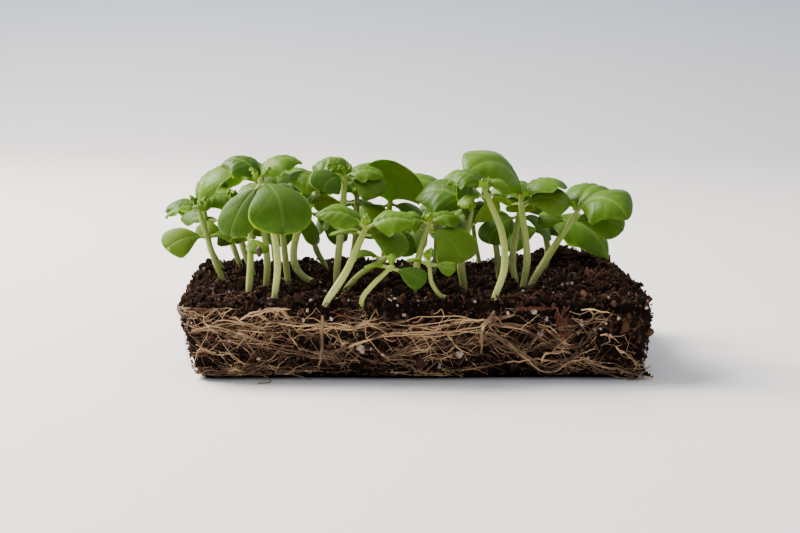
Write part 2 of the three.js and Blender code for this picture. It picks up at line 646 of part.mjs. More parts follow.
// Every seedling's leaves, each turned, tipped or drawn in a little where it would meet another.
function settleLeaves() {
  const stems = SEEDLINGS.flatMap((seedling, owner) => {
    const { end, along } = stemTop(seedling);
    const shootPoints = [0, 0.5, 1].map((share) => (
      end.clone().addScaledVector(along, CROWN_RISE + share * seedling.shoot)
    ));
    return [
      { owner, isShoot: false, radius: seedling.thick / 2, points: stemCurve(seedling).getPoints(STEM_SAMPLES) },
      { owner, isShoot: true, radius: SHOOT_WIDTH / 2 + SHOOT_ROOM, points: shootPoints },
    ];
  });
  const moves = leafMoves();
  const placed = [];
  SEEDLINGS.forEach((seedling, owner) => {
    const { end, along } = stemTop(seedling);
    const crown = end.clone().addScaledVector(along, CROWN_RISE);
    const shootTip = end.clone().addScaledVector(along, CROWN_RISE + seedling.shoot);
    for (const row of seedling.leaves) {
      const place = () => {
        for (const scale of LEAF_SCALES) {
          for (const [turn, tip] of moves) {
            const leaf = makeLeaf(row, crown, shootTip);
            leaf.azimuth += radians(turn);
            leaf.rise += radians(tip);
            leaf.length *= scale;
            leaf.width *= scale;
            if (leafIsClear(leaf, owner, placed, stems)) {
              return leaf;
            }
          }
        }
        return null;
      };
      const leaf = place();
      if (leaf) {
        const middle = leafPoint(leaf, 0.5, 0);
        const samples = leafSamples(leaf);
        const reach = Math.max(...samples.map(({ point }) => point.distanceTo(middle)));
        placed.push({ leaf, owner, samples, middle, reach });
      }
    }
  });
  return placed;
}

// A leaf on its stalk, with a top face, an alike under face and an edge between them.
function bladeGeometry(leaf) {
  const { rows, columns } = LEAF_KINDS[leaf.kind];
  const corners = [];
  const widths = [[-1, 2], [0, 2], ...rows.map((share) => [share, columns])];
  if (leaf.kind !== 'seed') {
    widths.push([1, 1]);
  }
  const addRow = ([share, count], lift) => {
    const row = [];
    for (let j = 0; j < count; j += 1) {
      const across = count === 1 ? 0 : (2 * j) / (count - 1) - 1;
      const point = leafPoint(leaf, share, across, lift);
      if (share <= 0) {
        const sideways = leafPoint(leaf, STALK_SIDE_SHARE, across, lift)
          .sub(leafPoint(leaf, STALK_SIDE_SHARE, 0, lift)).normalize();
        point.addScaledVector(sideways, PETIOLE_WIDTH / 2);
      }
      corners.push(point);
      row.push(corners.length - 1);
    }
    return row;
  };
  const upper = widths.map((row) => addRow(row, BLADE_THICKNESS / 2));
  const lower = widths.map((row) => addRow(row, -BLADE_THICKNESS / 2));
  const triangles = [];
  for (let k = 0; k < widths.length - 1; k += 1) {
    triangles.push(...zipRows(upper[k], upper[k + 1]).map(([a, b, c]) => [a, c, b]));
    triangles.push(...zipRows(lower[k], lower[k + 1]));
  }
  const rim = (rowsOf) => [
    ...rowsOf[0],
    ...rowsOf.slice(1, -1).map((row) => row[row.length - 1]),
    ...rowsOf[rowsOf.length - 1].slice().reverse(),
    ...rowsOf.slice(1, -1).map((row) => row[0]).reverse(),
  ];
  const upperRim = rim(upper);
  const lowerRim = rim(lower);
  upperRim.forEach((a, k) => {
    const next = (k + 1) % upperRim.length;
    triangles.push([a, upperRim[next], lowerRim[next]], [a, lowerRim[next], lowerRim[k]]);
  });
  return solidGeometry(corners, triangles);
}

// The leaves of one seedling, joined at the crown and along the young shoot.
function makeLeaves(seedling, leaves) {
  const { end, along } = stemTop(seedling);
  const foot = end.clone().addScaledVector(along, CROWN_GAP);
  const tip = end.clone().addScaledVector(along, CROWN_RISE + seedling.shoot + SHOOT_OVERRUN);
  const widths = [seedling.thick * SHOOT_FOOT_SHARE, SHOOT_WIDTH * SHOOT_TIP_SHARE];
  const pieces = [closedTube([foot, tip], widths, SHOOT_SIDES)];
  for (const leaf of leaves) {
    pieces.push(bladeGeometry(leaf));
  }
  return toGeometry(joinPieces(pieces));
}

function addMesh(group, name, geometry, colour, roughness) {
  const material = new THREE.MeshStandardMaterial({ color: colour, roughness, metalness: 0, side: THREE.DoubleSide });
  const mesh = new THREE.Mesh(geometry, material);
  mesh.name = name;
  group.add(mesh);
}

const block = new THREE.Group();
const holes = SEEDLINGS.map((seedling) => stemTube(seedling, HOLE_GAP));
addMesh(block, 'soil_block', makeSoil(holes), 0x2b1e17, 0.95);
addMesh(block, 'root_mat', makeRoots(), 0xb08a5c, 0.8);

const settled = settleLeaves();
SEEDLINGS.forEach((seedling, owner) => {
  const number = String(owner + 1).padStart(2, '0');
  const leaves = settled.filter((entry) => entry.owner === owner).map((entry) => entry.leaf);
  addMesh(block, `stem_${number}`, stemTube(seedling, 0), 0xb9c983, 0.55);
  addMesh(block, `leaves_${number}`, makeLeaves(seedling, leaves), 0x6d9a3e, 0.5);
});

export default block;
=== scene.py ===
"""A block of root-bound potting soil, out of its tray, with young basil seedlings. Metres, +Z up."""

import math

import bpy
import numpy as np
from mathutils import Matrix, Vector, noise


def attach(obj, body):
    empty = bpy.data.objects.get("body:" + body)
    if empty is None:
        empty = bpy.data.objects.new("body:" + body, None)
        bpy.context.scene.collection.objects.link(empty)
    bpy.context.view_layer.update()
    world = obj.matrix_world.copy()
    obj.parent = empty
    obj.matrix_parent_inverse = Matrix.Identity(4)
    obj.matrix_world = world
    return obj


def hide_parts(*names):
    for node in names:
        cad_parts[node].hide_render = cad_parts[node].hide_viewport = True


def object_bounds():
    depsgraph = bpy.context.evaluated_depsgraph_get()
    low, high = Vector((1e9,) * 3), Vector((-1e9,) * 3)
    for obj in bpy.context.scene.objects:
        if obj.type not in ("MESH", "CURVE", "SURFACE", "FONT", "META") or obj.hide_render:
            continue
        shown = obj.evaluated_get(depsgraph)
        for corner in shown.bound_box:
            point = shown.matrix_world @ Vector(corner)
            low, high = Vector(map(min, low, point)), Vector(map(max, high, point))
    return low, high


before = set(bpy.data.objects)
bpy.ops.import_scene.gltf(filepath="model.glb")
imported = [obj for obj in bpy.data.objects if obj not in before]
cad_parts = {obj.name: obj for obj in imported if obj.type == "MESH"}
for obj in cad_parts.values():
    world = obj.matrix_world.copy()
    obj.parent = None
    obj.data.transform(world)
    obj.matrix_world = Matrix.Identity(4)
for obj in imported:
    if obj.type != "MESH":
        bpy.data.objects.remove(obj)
CAD_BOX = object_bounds()

bl_info = {
    "name": "Basil microgreens block",
    "version": (1, 0, 0),
    "blender": (4, 5, 0),
    "location": "View3D > Sidebar > Microgreens",
    "description": "Builds the looks of a soil block with basil seedlings around its solid model",
    "category": "Object",
}

MM = 0.001
BODY = "root"

# The soil block, in millimetres, as in its solid.
BLOCK_LENGTH = 118
BLOCK_DEPTH = 72
SOIL_TOP = 20.5
WALL_TOP = 17.5
CHAMFER_HEIGHT = 2.5
TOP_EDGE_INSET = 0.5
TOP_EDGE_DROP = 0.6
WALL_INSET = 3
FOOT_INSET = 6
CORNER_RADIUS = 4
LUMPS = [
    (46, 30, 13, 9, 4.8),
    (56, -6, 9, 22, 1.8),
    (-57, 4, 5, 14, 1.6),
    (-12.5, -37, 5, 4, -1.4),
    (6, -37, 6, 4, 0.5),
    (22, 8, 14, 9, -0.9),
    (-34, 12, 12, 10, 0.8),
]
CRUMB_HEIGHT = 0.8
RIGHT_BULGE = 1.6
RIGHT_FLARE = 0.6
RIGHT_SHARPNESS = 4

# Stems and leaves, in millimetres and degrees, as in their solids.
STEM_SINK = 4.5
STEM_TAPER = 0.86
SHOOT_WIDTH = 1.5
CROWN_RISE = 1.45
PETIOLE = {"seed": 2, "true": 2, "young": 1.2}
CUP = {"seed": 0.16, "true": 0.34, "young": 0.3}
NOTCH = {"seed": 0.1, "true": 0, "young": 0}

# Each seedling: the bends of its stem, the stem's thickness, the length of shoot above the seed leaves,
# and its leaves. A leaf is its kind, azimuth, rise, length, width, bend along its length and roll.
SEEDLINGS = [
    ([(-50, -6), (-52.5, -7, 27), (-54, -7, 32)], 1.8, 8,
     [("seed", 195, 5, 10, 9.5, 50, -50), ("seed", 10, 15, 8, 7, 50, 25),
      ("true", 60, 82, 17, 15, 105, -25), ("true", 205, 10, 8, 6, 60, 15)]),
    ([(-52, 14), (-55.5, 14, 27), (-56.5, 13, 34)], 2, 3,
     [("seed", 100, 10, 9, 8, 50, 0), ("seed", -80, 0, 8, 7, 60, 0),
      ("true", 178, 32, 10.5, 9, 85, -20), ("true", 20, 60, 11, 9, 90, 10)]),
    ([(-48, 25), (-51, 26, 29), (-53, 27, 37)], 1.9, 3,
     [("seed", 10, -10, 12, 11, 55, 35), ("seed", 185, -10, 12, 10, 55, -35),
      ("true", 95, 50, 14, 12, 90, 0), ("true", -60, 60, 14, 12, 100, 0)]),
    ([(-43, 6), (-46, 7, 29), (-48, 9, 37)], 2.1, 3,
     [("seed", -30, -10, 12, 10, 55, 30), ("seed", 160, -10, 12, 10, 55, -30),
      ("true", 20, 50, 14, 12, 100, 10), ("true", 200, 50, 13, 11, 90, -10)]),
    ([(-38, 27), (-39, 29, 30), (-40, 30, 38)], 1.9, 3,
     [("seed", 15, -15, 13, 12, 55, 40), ("seed", 200, -15, 13, 12, 55, -40),
      ("true", -10, 60, 16, 14, 110, 10), ("true", 165, 60, 15, 13, 100, -10)]),
    ([(-38.5, -14), (-38, -15, 28), (-39, -15, 37.5)], 2, 9,
     [("seed", 188, 30, 8, 8, 120, -25), ("seed", 15, 10, 9, 8, 60, 20),
      ("true", 165, 80, 13, 12, 130, -20), ("true", 15, 75, 14, 11, 115, 15)]),
    ([(-35.5, -30), (-34.5, -31, 30), (-36, -31, 41), (-38, -31.5, 48.5)], 2, 1,
     [("seed", -62, 0, 17.5, 16, 95, 12), ("seed", 212, -36, 14, 10, 45, -35)]),
    ([(-42.5, -22), (-42, -21, 28), (-42, -20, 33)], 2, 2,
     [("seed", 110, 10, 8, 7, 50, 0), ("seed", -70, 0, 7, 6, 50, 0)]),
    ([(-33, -4), (-34, -3, 29), (-35, -2, 38)], 2, 3,
     [("seed", 20, -15, 13, 11, 55, 35), ("seed", 200, -15, 12, 11, 55, -35),
      ("true", 100, 60, 14, 12, 100, 0), ("true", -70, 55, 13, 12, 90, 0)]),
    ([(-24, -6), (-28.5, -8, 22.5), (-31.2, -9, 27), (-30.5, -9, 34), (-26, -9, 44)], 2.2, 3,
     [("seed", 70, -10, 11, 10, 60, 0), ("seed", -100, -10, 5, 4, 20, 0),
      ("true", 225, 65, 14, 14, 135, -15), ("true", 60, 65, 13, 11, 100, 0)]),
    ([(-23, 17), (-26, 17, 27), (-28, 17, 36)], 1.9, 3,
     [("seed", 15, -15, 13, 12, 55, 40), ("seed", 190, -15, 13, 12, 55, -40),
      ("true", 100, 50, 16, 14, 90, 0), ("true", -80, 55, 15, 13, 100, 0)]),
    ([(-20, 30), (-19, 30, 28), (-18.5, 31, 38)], 1.9, 3,
     [("seed", 10, -15, 13, 12, 55, 40), ("seed", 195, -15, 13, 12, 55, -40),
      ("true", 150, 40, 16, 15, 100, -20), ("true", -30, 45, 16, 15, 100, 20)]),
    ([(-20, -11), (-19.5, -12, 28), (-18.5, -13, 38), (-17.8, -13, 47)], 2.1, 1.5,
     [("seed", 200, 30, 9.5, 9, 95, -45), ("seed", -15, 10, 9, 9, 70, 45),
      ("young", 150, 40, 7, 7, 80, -20), ("young", 5, 35, 10, 8, 80, 25)]),
    ([(-17, 8), (-15, 8, 29), (-14.5, 6, 40)], 2, 1,
     [("seed", 150, -10, 12, 11, 60, -30), ("seed", -40, -10, 12, 10, 60, 20),
      ("true", -5, 66, 23, 22, 155, -42), ("true", 170, 60, 15, 13, 100, -15)]),
    ([(-22.5, -34), (-17.3, -34.5, 28), (-13.5, -35, 36.5)], 2.1, 1.5,
     [("seed", -12, -18, 10, 9, 35, 40), ("seed", 130, 10, 9, 8, 40, 0),
      ("true", 178, 45, 12, 9, 75, -35), ("true", -5, 32, 11, 9.5, 60, 35)]),
    ([(-18, -19), (-14, -20, 25), (-9, -21, 28.5)], 1.8, 1,
     [("seed", 5, 40, 8, 7, 30, 60), ("seed", 175, 20, 7, 6, 60, -10)]),
    ([(-7, 22), (-6, 22, 29), (-5, 21, 38)], 2, 3,
     [("seed", 15, -15, 13, 12, 55, 40), ("seed", 195, -15, 13, 12, 55, -40),
      ("true", -5, 45, 17, 15, 110, 25), ("true", 175, 45, 17, 15, 110, -25)]),
    ([(-13.5, -34.5), (-13, -36, 22), (-10.5, -38, 25.5), (-7.2, -39.5, 29)], 1.5, 0.5,
     [("seed", -8, -15, 7.5, 6.5, 20, 45), ("seed", 140, 35, 5, 4, 50, 0)]),
    ([(1, -22), (1, -23, 28), (3, -24, 36)], 2.1, 1.5,
     [("seed", -25, -12, 11.5, 12, 60, 50), ("seed", 160, 10, 9, 8, 60, -20),
      ("young", 190, 35, 8.5, 8, 100, -35), ("young", 15, 40, 10, 8, 90, 20)]),
    ([(9, -31), (6.5, -32, 21.8), (4.4, -32.5, 25), (3.8, -33, 28.5)], 1.3, 0.5,
     [("seed", -15, -5, 5, 4.5, 20, 45), ("seed", 165, 20, 4, 4, 40, 0)]),
    ([(14, -14), (13, -15, 28), (14.5, -15, 35.5)], 2.4, 4,
     [("seed", 100, 82, 11.5, 9, 5, 45), ("seed", 15, 42, 9, 8, 10, -55),
      ("true", 172, 56, 17, 17, 105, -35), ("true", 60, 40, 12, 10, 80, 0)]),
    ([(22, 30), (20.5, 30, 27), (19, 29, 37)], 1.6, 3,
     [("seed", 10, -15, 13, 12, 55, 40), ("seed", 190, -15, 13, 12, 55, -40),
      ("true", 100, 60, 14, 12, 90, 0), ("true", -80, 60, 16, 14, 100, 0)]),
    ([(25, 2), (24, 2, 29), (22, 2, 38)], 2, 3,
     [("seed", 160, -15, 12, 11, 55, -35), ("seed", -20, -15, 12, 11, 55, 35),
      ("true", 5, 50, 16, 14, 100, 10), ("true", 170, 45, 16, 14, 100, 0)]),
    ([(20, -33.5), (22.5, -34.5, 29), (21.8, -34, 38), (18.5, -33.5, 46)], 2, 1,
     [("seed", -170, 0, 6, 5, 60, -20), ("seed", 30, 0, 6, 5, 60, 0),
      ("true", 160, 62, 11, 10, 130, -20), ("true", 60, 40, 8, 8, 90, 0)]),
    ([(29, -3), (28, -2, 26.5), (29.5, -1, 37)], 2.1, 3,
     [("seed", 20, -10, 11, 9, 60, 35), ("seed", 200, -10, 11, 9, 60, -35),
      ("true", 120, 60, 14, 12, 110, 0)]),
    ([(29.5, -14), (30.5, -15, 29), (29, -15, 41)], 2.1, 1.5,
     [("seed", -2, 30, 11.5, 10, 75, 45), ("seed", 120, 10, 9, 8, 60, 0),
      ("true", 207, 84, 22, 21, 130, -38), ("true", 30, 50, 15, 13, 110, 0)]),
    ([(32, -9), (37, -10, 29), (41.5, -12, 37)], 2.2, 3,
     [("seed", -4, 15, 13, 10, 55, 50), ("seed", 165, 20, 7, 6.5, 20, -40),
      ("true", -40, 48, 17, 16, 115, 30), ("true", 45, 75, 17, 15, 120, 10)]),
    ([(7, 10), (8, 11, 27), (8, 12, 36)], 2, 2,
     [("seed", 15, -15, 13, 12, 55, 40), ("seed", 190, -15, 13, 12, 55, -40),
      ("true", -100, 50, 11, 10, 110, 0)]),
    ([(40, 19), (40.5, 19, 26), (39.5, 18, 31)], 2.1, 2,
     [("seed", 185, 0, 12, 10, 50, -40), ("seed", 70, 10, 11, 10, 60, 0),
      ("true", -12, 15, 22, 15, 95, 30), ("true", 100, 80, 17, 15, 125, 0)]),
]
# How deep the green of some seedlings' leaves is, from 0 to 1, as the photograph shows it. Seedling 14's pale
# tone, at key 13, is painted light, for the sheen on its big leaf and the light shining through it.
LEAF_TONES = {0: 0, 2: 0.9, 6: 0.9, 10: 0.8, 13: 0, 15: 0.7, 18: 0.45, 20: 0.95, 25: 0.2, 26: 0.6}
STEM_NODES = [f"stem_{k + 1:02d}" for k in range(len(SEEDLINGS))]
LEAF_NODES = [f"leaves_{k + 1:02d}" for k in range(len(SEEDLINGS))]

# How the leaves make room for each other, as in the solids.
SAMPLE_SPACING = 1.6
LEAF_CLEARANCE = 2.3
STEM_CLEARANCE = 1.2
OWN_STEM_CLEARANCE = 0.8
SHOOT_ROOM = 0.4
SIBLING_CLEARANCE = 1.2
SIBLING_FREE = 0.35
SOIL_CLEARANCE = 1.2
TURNS = [0, 8, -8, 16, -16, 24, -24, 34, -34, 46, -46]
TIPS = [0, 10, -10, 20, -20, 32]
LEAF_SCALES = [1, 0.85, 0.7, 0.55]

# The camera, fitted to the photograph: place in metres, the long side's turn, the tilt and the roll.
CAMERA_PLACE = (-0.016, -0.4062, 0.0849)
CAMERA_TURN = math.radians(1.889)
CAMERA_TILT = math.radians(8.475)
CAMERA_ROLL = 0.005
CAMERA_LENS_MM = 67.5


def linear(hex_colour):
    """An sRGB hex colour as linear red, green and blue."""
    channels = [int(hex_colour[k:k + 2], 16) / 255 for k in (1, 3, 5)]
    return tuple(c / 12.92 if c <= 0.04045 else ((c + 0.055) / 1.055) ** 2.4 for c in channels)


def colour_prop(name, description, hex_colour):
    """A colour that the user can change."""
    return bpy.props.FloatVectorProperty(
        name=name, description=description, subtype="COLOR", size=3, min=0, max=1, default=linear(hex_colour))


def length_prop(name, description, millimetres):
    """A length that the user can change, in metres."""
    return bpy.props.FloatProperty(
        name=name, description=description, subtype="DISTANCE", unit="LENGTH", default=millimetres * MM)


class SoilSettings(bpy.types.PropertyGroup):
    peat: colour_prop("Peat", "Colour of the moist peat", "#1c120b")
    peat_light: colour_prop("Dry peat", "Colour of the drier, redder peat", "#553c2c")
    bark: colour_prop("Bark", "Colour of the bark chips and fibres", "#7d3c18")
    perlite: colour_prop("Perlite", "Colour of the perlite grains", "#bfa99b")
    lump_height: length_prop("Lump height", "How far the crumbs stand out of the walls", 1.6)
    crumb_size: length_prop("Crumb size", "Width of a middling crumb", 1.4)
    crumb_density: bpy.props.FloatProperty(
        name="Crumb density", description="Middling crumbs on a square metre", default=100000)


class RootSettings(bpy.types.PropertyGroup):
    root: colour_prop("Root", "Colour of a clean root", "#d3ab7b")
    root_dark: colour_prop("Stained root", "Colour of a root stained by the soil", "#4c2d16")
    thick: length_prop("Thick root", "Diameter of the thick roots", 0.5)
    fine: length_prop("Fine root", "Diameter of the fine roots", 0.22)
    seed: bpy.props.IntProperty(name="Seed", description="Seed of the roots' places", default=11)


class PlantSettings(bpy.types.PropertyGroup):
    stem: colour_prop("Stem", "Colour of the stems", "#a3b04c")
    stem_foot: colour_prop("Stem foot", "Colour of the stems at the soil", "#bcc07a")
    stem_tip: colour_prop("Stem tip", "Colour of the stalks and the stems at the leaves", "#7d9a30")
    leaf: colour_prop("Leaf", "Colour of a true leaf's upper face", "#537313")
    leaf_deep: colour_prop("Deep leaf", "Colour of the darker leaves", "#3a590a")
    # The underside colours are partly the leaves' own paler green and partly painted light, lightened for the
    # light shining through the leaves.
    leaf_under_glow: colour_prop("Leaf underside", "Colour of the underside", "#7a9a20")
    vein: colour_prop("Vein", "Colour of the veins", "#8aa346")
    seed_leaf: colour_prop("Seed leaf", "Colour of a seed leaf", "#5a7518")
    seed_under_glow: colour_prop("Seed leaf underside", "Colour of a seed leaf's underside", "#6a861c")
    hull: colour_prop("Seed hull", "Colour of the seed hull", "#3a2418")
    true_thickness: length_prop("True leaf thickness", "Thickness of a true leaf", 0.45)
    seed_thickness: length_prop("Seed leaf thickness", "Thickness of a seed leaf", 0.65)


class StageSettings(bpy.types.PropertyGroup):
    floor: colour_prop("Floor", "Colour of the floor", "#efebe7")
    # The backdrop colour is painted shade: the upper part darker and bluer than the floor, for the light that
    # falls off up the backdrop.
    backdrop: colour_prop("Backdrop", "Colour of the backdrop's upper part", "#b3bbca")
    key_power: bpy.props.FloatProperty(name="Key light", description="Power in watts", default=31)
    top_power: bpy.props.FloatProperty(name="Top light", description="Power in watts", default=6)
    sky: bpy.props.FloatProperty(name="Surroundings", description="Strength of the even light", default=0.7)


# Shapes in millimetres.

def soil_height(x, y):
    """Height of the soil at a place on its top, for numbers or arrays."""
    height = SOIL_TOP + 0 * x
    for middle_x, middle_y, reach_x, reach_y, rise in LUMPS:
        height = height + rise * np.exp(-(((x - middle_x) / reach_x) ** 2) - ((y - middle_y) / reach_y) ** 2)
    crumbs = np.sin(0.71 * x + 0.4 * y) * np.sin(0.93 * y - 0.22 * x + 1.3) + 0.6 * np.sin(1.27 * x - 0.8 * y)
    return height + CRUMB_HEIGHT * crumbs


def block_outline(inset, long_steps, short_steps, corner_steps):
    """Points of the block's outline, drawn in by an inset, anticlockwise from the front right."""
    half_length = BLOCK_LENGTH / 2 - CORNER_RADIUS
    half_depth = BLOCK_DEPTH / 2 - CORNER_RADIUS
    radius = CORNER_RADIUS - inset * 0.5
    corners = [
        (half_length, -half_depth, -90, short_steps),
        (half_length, half_depth, 0, long_steps),
        (-half_length, half_depth, 90, short_steps),
        (-half_length, -half_depth, 180, long_steps),
    ]
    shift = inset * 0.5
    middles = [np.array([x - math.copysign(shift, x), y - math.copysign(shift, y)]) for x, y, _, _ in corners]
    points = []
    for k, (_, _, start, side_steps) in enumerate(corners):
        for s in range(corner_steps + 1):
            angle = math.radians(start + 90 * s / corner_steps)
            points.append(middles[k] + radius * np.array([math.cos(angle), math.sin(angle)]))
        begin = points[-1]
        angle = math.radians(corners[(k + 1) % 4][2])
        end = middles[(k + 1) % 4] + radius * np.array([math.cos(angle), math.sin(angle)])
        outward = np.array([math.cos(angle), math.sin(angle)])
        for s in range(1, side_steps):
            share = s / side_steps
            bow = 0.5 * math.sin(math.pi * share * 3 + k) * math.sin(math.pi * share)
            points.append(begin + (end - begin) * share + outward * bow)
    outline = np.array(points)
    rightness = (np.maximum(outline[:, 0], 0) / (BLOCK_LENGTH / 2)) ** RIGHT_SHARPNESS
    outline[:, 0] += rightness * (RIGHT_BULGE + RIGHT_FLARE * inset)
    return outline


def wall_inset(z):
    """Inset of the side wall at a height, from the foot to the top of the wall."""
    return float(np.interp(z, [0, CHAMFER_HEIGHT, WALL_TOP], [FOOT_INSET, WALL_INSET, 0]))


def curve_points(points, count):
    """Points on the smooth curve through a list of points, at even steps of its parameter."""
    points = [np.array(p, float) for p in points]
    spans = len(points) - 1
    padded = [2 * points[0] - points[1], *points, 2 * points[-1] - points[-2]]
    result = []
    for k in range(count + 1):
        place = spans * k / count
        i = min(int(place), spans - 1)
        w = place - i
        p0, p1, p2, p3 = padded[i:i + 4]
        result.append(0.5 * (2 * p1 + (p2 - p0) * w + (2 * p0 - 5 * p1 + 4 * p2 - p3) * w ** 2
                             + (3 * p1 - p0 - 3 * p2 + p3) * w ** 3))
    return np.array(result)


def stem_path(seedling, count):
    """The stem's middle line: under the soil, at its surface, and up to the seed leaves."""
    (base_x, base_y), *bends = seedling[0]
    base = np.array([base_x, base_y, soil_height(base_x, base_y)])
    under = base - 0.25 * (np.array(bends[0]) - base)
    under[2] = base[2] - STEM_SINK
    return curve_points([under, base, *bends], count)


def stem_top(seedling):
    """The end of the stem, and the direction in which it points."""
    path = stem_path(seedling, 25)
    along = path[-1] - path[-2]
    return path[-1], along / np.linalg.norm(along)


def crown_and_tip(seedling):
    """Where the seed leaves and the true leaves grow from."""
    end, along = stem_top(seedling)
    return end + along * CROWN_RISE, end + along * (CROWN_RISE + seedling[2])


def blade_half_width(kind, share):
    """Half of a blade's width as a share of its greatest half width, for an array of shares."""
    share = np.clip(share, 0, 1)
    if kind == "seed":
        near = np.sin(np.pi / 2 * np.minimum(share / 0.68, 1)) ** 0.85
        far = np.sqrt(np.maximum(0, 1 - (np.maximum(share - 0.68, 0) / 0.32) ** 2.6))
        return np.where(share < 0.68, near, far)
    return np.maximum(0, np.sin(np.pi * share ** 0.82)) ** 0.72


def make_leaf(row, crown, tip, turn=0, lean=0, scale=1):
    """A leaf's sizes in radians and millimetres, turned, tipped and scaled from its row."""
    kind, azimuth, rise, length, width, bend, roll = row
    return {
        "kind": kind,
        "azimuth": math.radians(azimuth + turn),
        "rise": math.radians(rise + lean),
        "length": length * scale,
        "width": width * scale,
        "bend": math.radians(bend),
        "roll": math.radians(roll),
        "start": crown if kind == "seed" else tip,
    }


def leaf_points(leaf, share, across, lift=0, half_width=None):
    """Points of a leaf: along its blade, across it from -1 to 1, and raised from its middle sheet."""
    share = np.asarray(share, float)
    across = np.asarray(across, float)
    kind, azimuth, rise, bend, roll = (leaf[key] for key in ("kind", "azimuth", "rise", "bend", "roll"))
    along = np.maximum(share, 0)
    drawn = np.maximum(share - NOTCH[kind] * (1 - across ** 2) * along ** 5, 0)
    slope = rise - bend * drawn
    stalk = PETIOLE[kind] * (np.minimum(share, 0) + 1)
    out = leaf["length"] * (math.sin(rise) - np.sin(slope)) / bend + stalk * math.cos(rise)
    up = leaf["length"] * (np.cos(slope) - math.cos(rise)) / bend + stalk * math.sin(rise)
    facing_x = math.cos(azimuth)
    facing_y = math.sin(azimuth)
    spine = np.stack([facing_x * out, facing_y * out, up], -1) + leaf["start"]
    sideways = np.array([-facing_y, facing_x, 0])
    normal = np.stack([-np.sin(slope) * facing_x, -np.sin(slope) * facing_y, np.cos(slope)], -1)
    rolled_side = sideways * math.cos(roll) + normal * math.sin(roll)
    rolled_normal = normal * math.cos(roll) - sideways * math.sin(roll)
    if half_width is None:
        half_width = leaf["width"] / 2 * blade_half_width(kind, along)
    height = lift - CUP[kind] * half_width * across ** 2
    return spine + rolled_side * (half_width * across)[..., None] + rolled_normal * height[..., None]


def leaf_samples(leaf):
    """Points over a leaf's stalk and blade, their shares of its length, their middle and their reach."""
    rows = math.ceil(leaf["length"] / SAMPLE_SPACING)
    columns = math.ceil(leaf["width"] / SAMPLE_SPACING / 2)
    shares = np.arange(rows + 1) / rows
    share, across = np.meshgrid(shares, np.arange(-columns, columns + 1) / columns, indexing="ij")
    share = np.concatenate([[-1, -0.5], share.ravel()])
    points = leaf_points(leaf, share, np.concatenate([[0, 0], across.ravel()]))
    middle = points.mean(0)
    return points, share, middle, np.linalg.norm(points - middle, axis=1).max()


def any_near(points, others, reach):
    """Whether any of these points is nearer than reach to one of the others."""
    if not len(points) or not len(others):
        return False
    gaps = ((points[:, None, :] - others[None, :, :]) ** 2).sum(-1)
    return bool((gaps < reach * reach).any())


def leaf_is_clear(leaf, owner, placed, stems):
    """Whether a leaf in this place is clear of the soil, the stems and the leaves already there."""
    points, share, middle, reach = leaf_samples(leaf)
    over_block = np.abs(points[:, 0]) < BLOCK_LENGTH / 2
    low = points[:, 2] < soil_height(points[:, 0], points[:, 1]) + SOIL_CLEARANCE
    if (over_block & low).any():
        return False
    for stem in stems:
        own = stem["owner"] == owner
        if own and stem["is_shoot"]:
            continue
        clearance = stem["radius"] + (OWN_STEM_CLEARANCE if own else STEM_CLEARANCE)
        if np.linalg.norm(stem["points"] - middle, axis=1).min() > reach + clearance:
            continue
        if any_near(points[share >= 0] if own else points, stem["points"], clearance):
            return False
    for other in placed:
        sibling = other["owner"] == owner
        clearance = SIBLING_CLEARANCE if sibling else LEAF_CLEARANCE
        free = SIBLING_FREE if sibling else -1
        if np.linalg.norm(other["middle"] - middle) > reach + other["reach"] + clearance:
            continue
        if any_near(points[share >= free], other["points"][other["share"] >= free], clearance):
            return False
    return True


def settle_leaves():
    """Every seedling's leaves, each turned, tipped or drawn in a little where it would meet another."""
    stems = []
    for owner, seedling in enumerate(SEEDLINGS):
        crown, tip = crown_and_tip(seedling)
        stems.append({"owner": owner, "is_shoot": False, "radius": seedling[1] / 2,
                      "points": stem_path(seedling, 24)})
        stems.append({"owner": owner, "is_shoot": True, "radius": SHOOT_WIDTH / 2 + SHOOT_ROOM,
                      "points": np.array([crown, (crown + tip) / 2, tip])})

    def size(move):
        turn, lean = move
        return turn * turn + 1.5 * lean * lean + (0.1 if turn < 0 else 0) + (0.2 if lean < 0 else 0)

    moves = sorted([(turn, lean) for turn in TURNS for lean in TIPS], key=size)
    placed = []
    for owner, seedling in enumerate(SEEDLINGS):
        crown, tip = crown_and_tip(seedling)
        for row in seedling[3]:
            tries = (make_leaf(row, crown, tip, *move, scale) for scale in LEAF_SCALES for move in moves)
            leaf = next((leaf for leaf in tries if leaf_is_clear(leaf, owner, placed, stems)), None)
            if leaf is None:
                continue
            points, share, middle, reach = leaf_samples(leaf)
            placed.append({"leaf": leaf, "owner": owner, "points": points, "share": share,
                           "middle": middle, "reach": reach})
    return placed


# Meshes, node trees and materials.

# The kinds of node that come up often, and the colour Mix node's sockets for its two colours and its result.
MATH = "ShaderNodeMath"
VECTOR_MATH = "ShaderNodeVectorMath"
NOISE = "ShaderNodeTexNoise"
CELLS = "ShaderNodeTexVoronoi"
BUMP = "ShaderNodeBump"
RAMP = "ShaderNodeValToRGB"
MIX = "ShaderNodeMix"
MAP_RANGE = "ShaderNodeMapRange"
STORED = "ShaderNodeAttribute"
NAMED = "GeometryNodeInputNamedAttribute"
RANDOM = "FunctionNodeRandomValue"
FIRST, SECOND, MIXED = 6, 7, 2


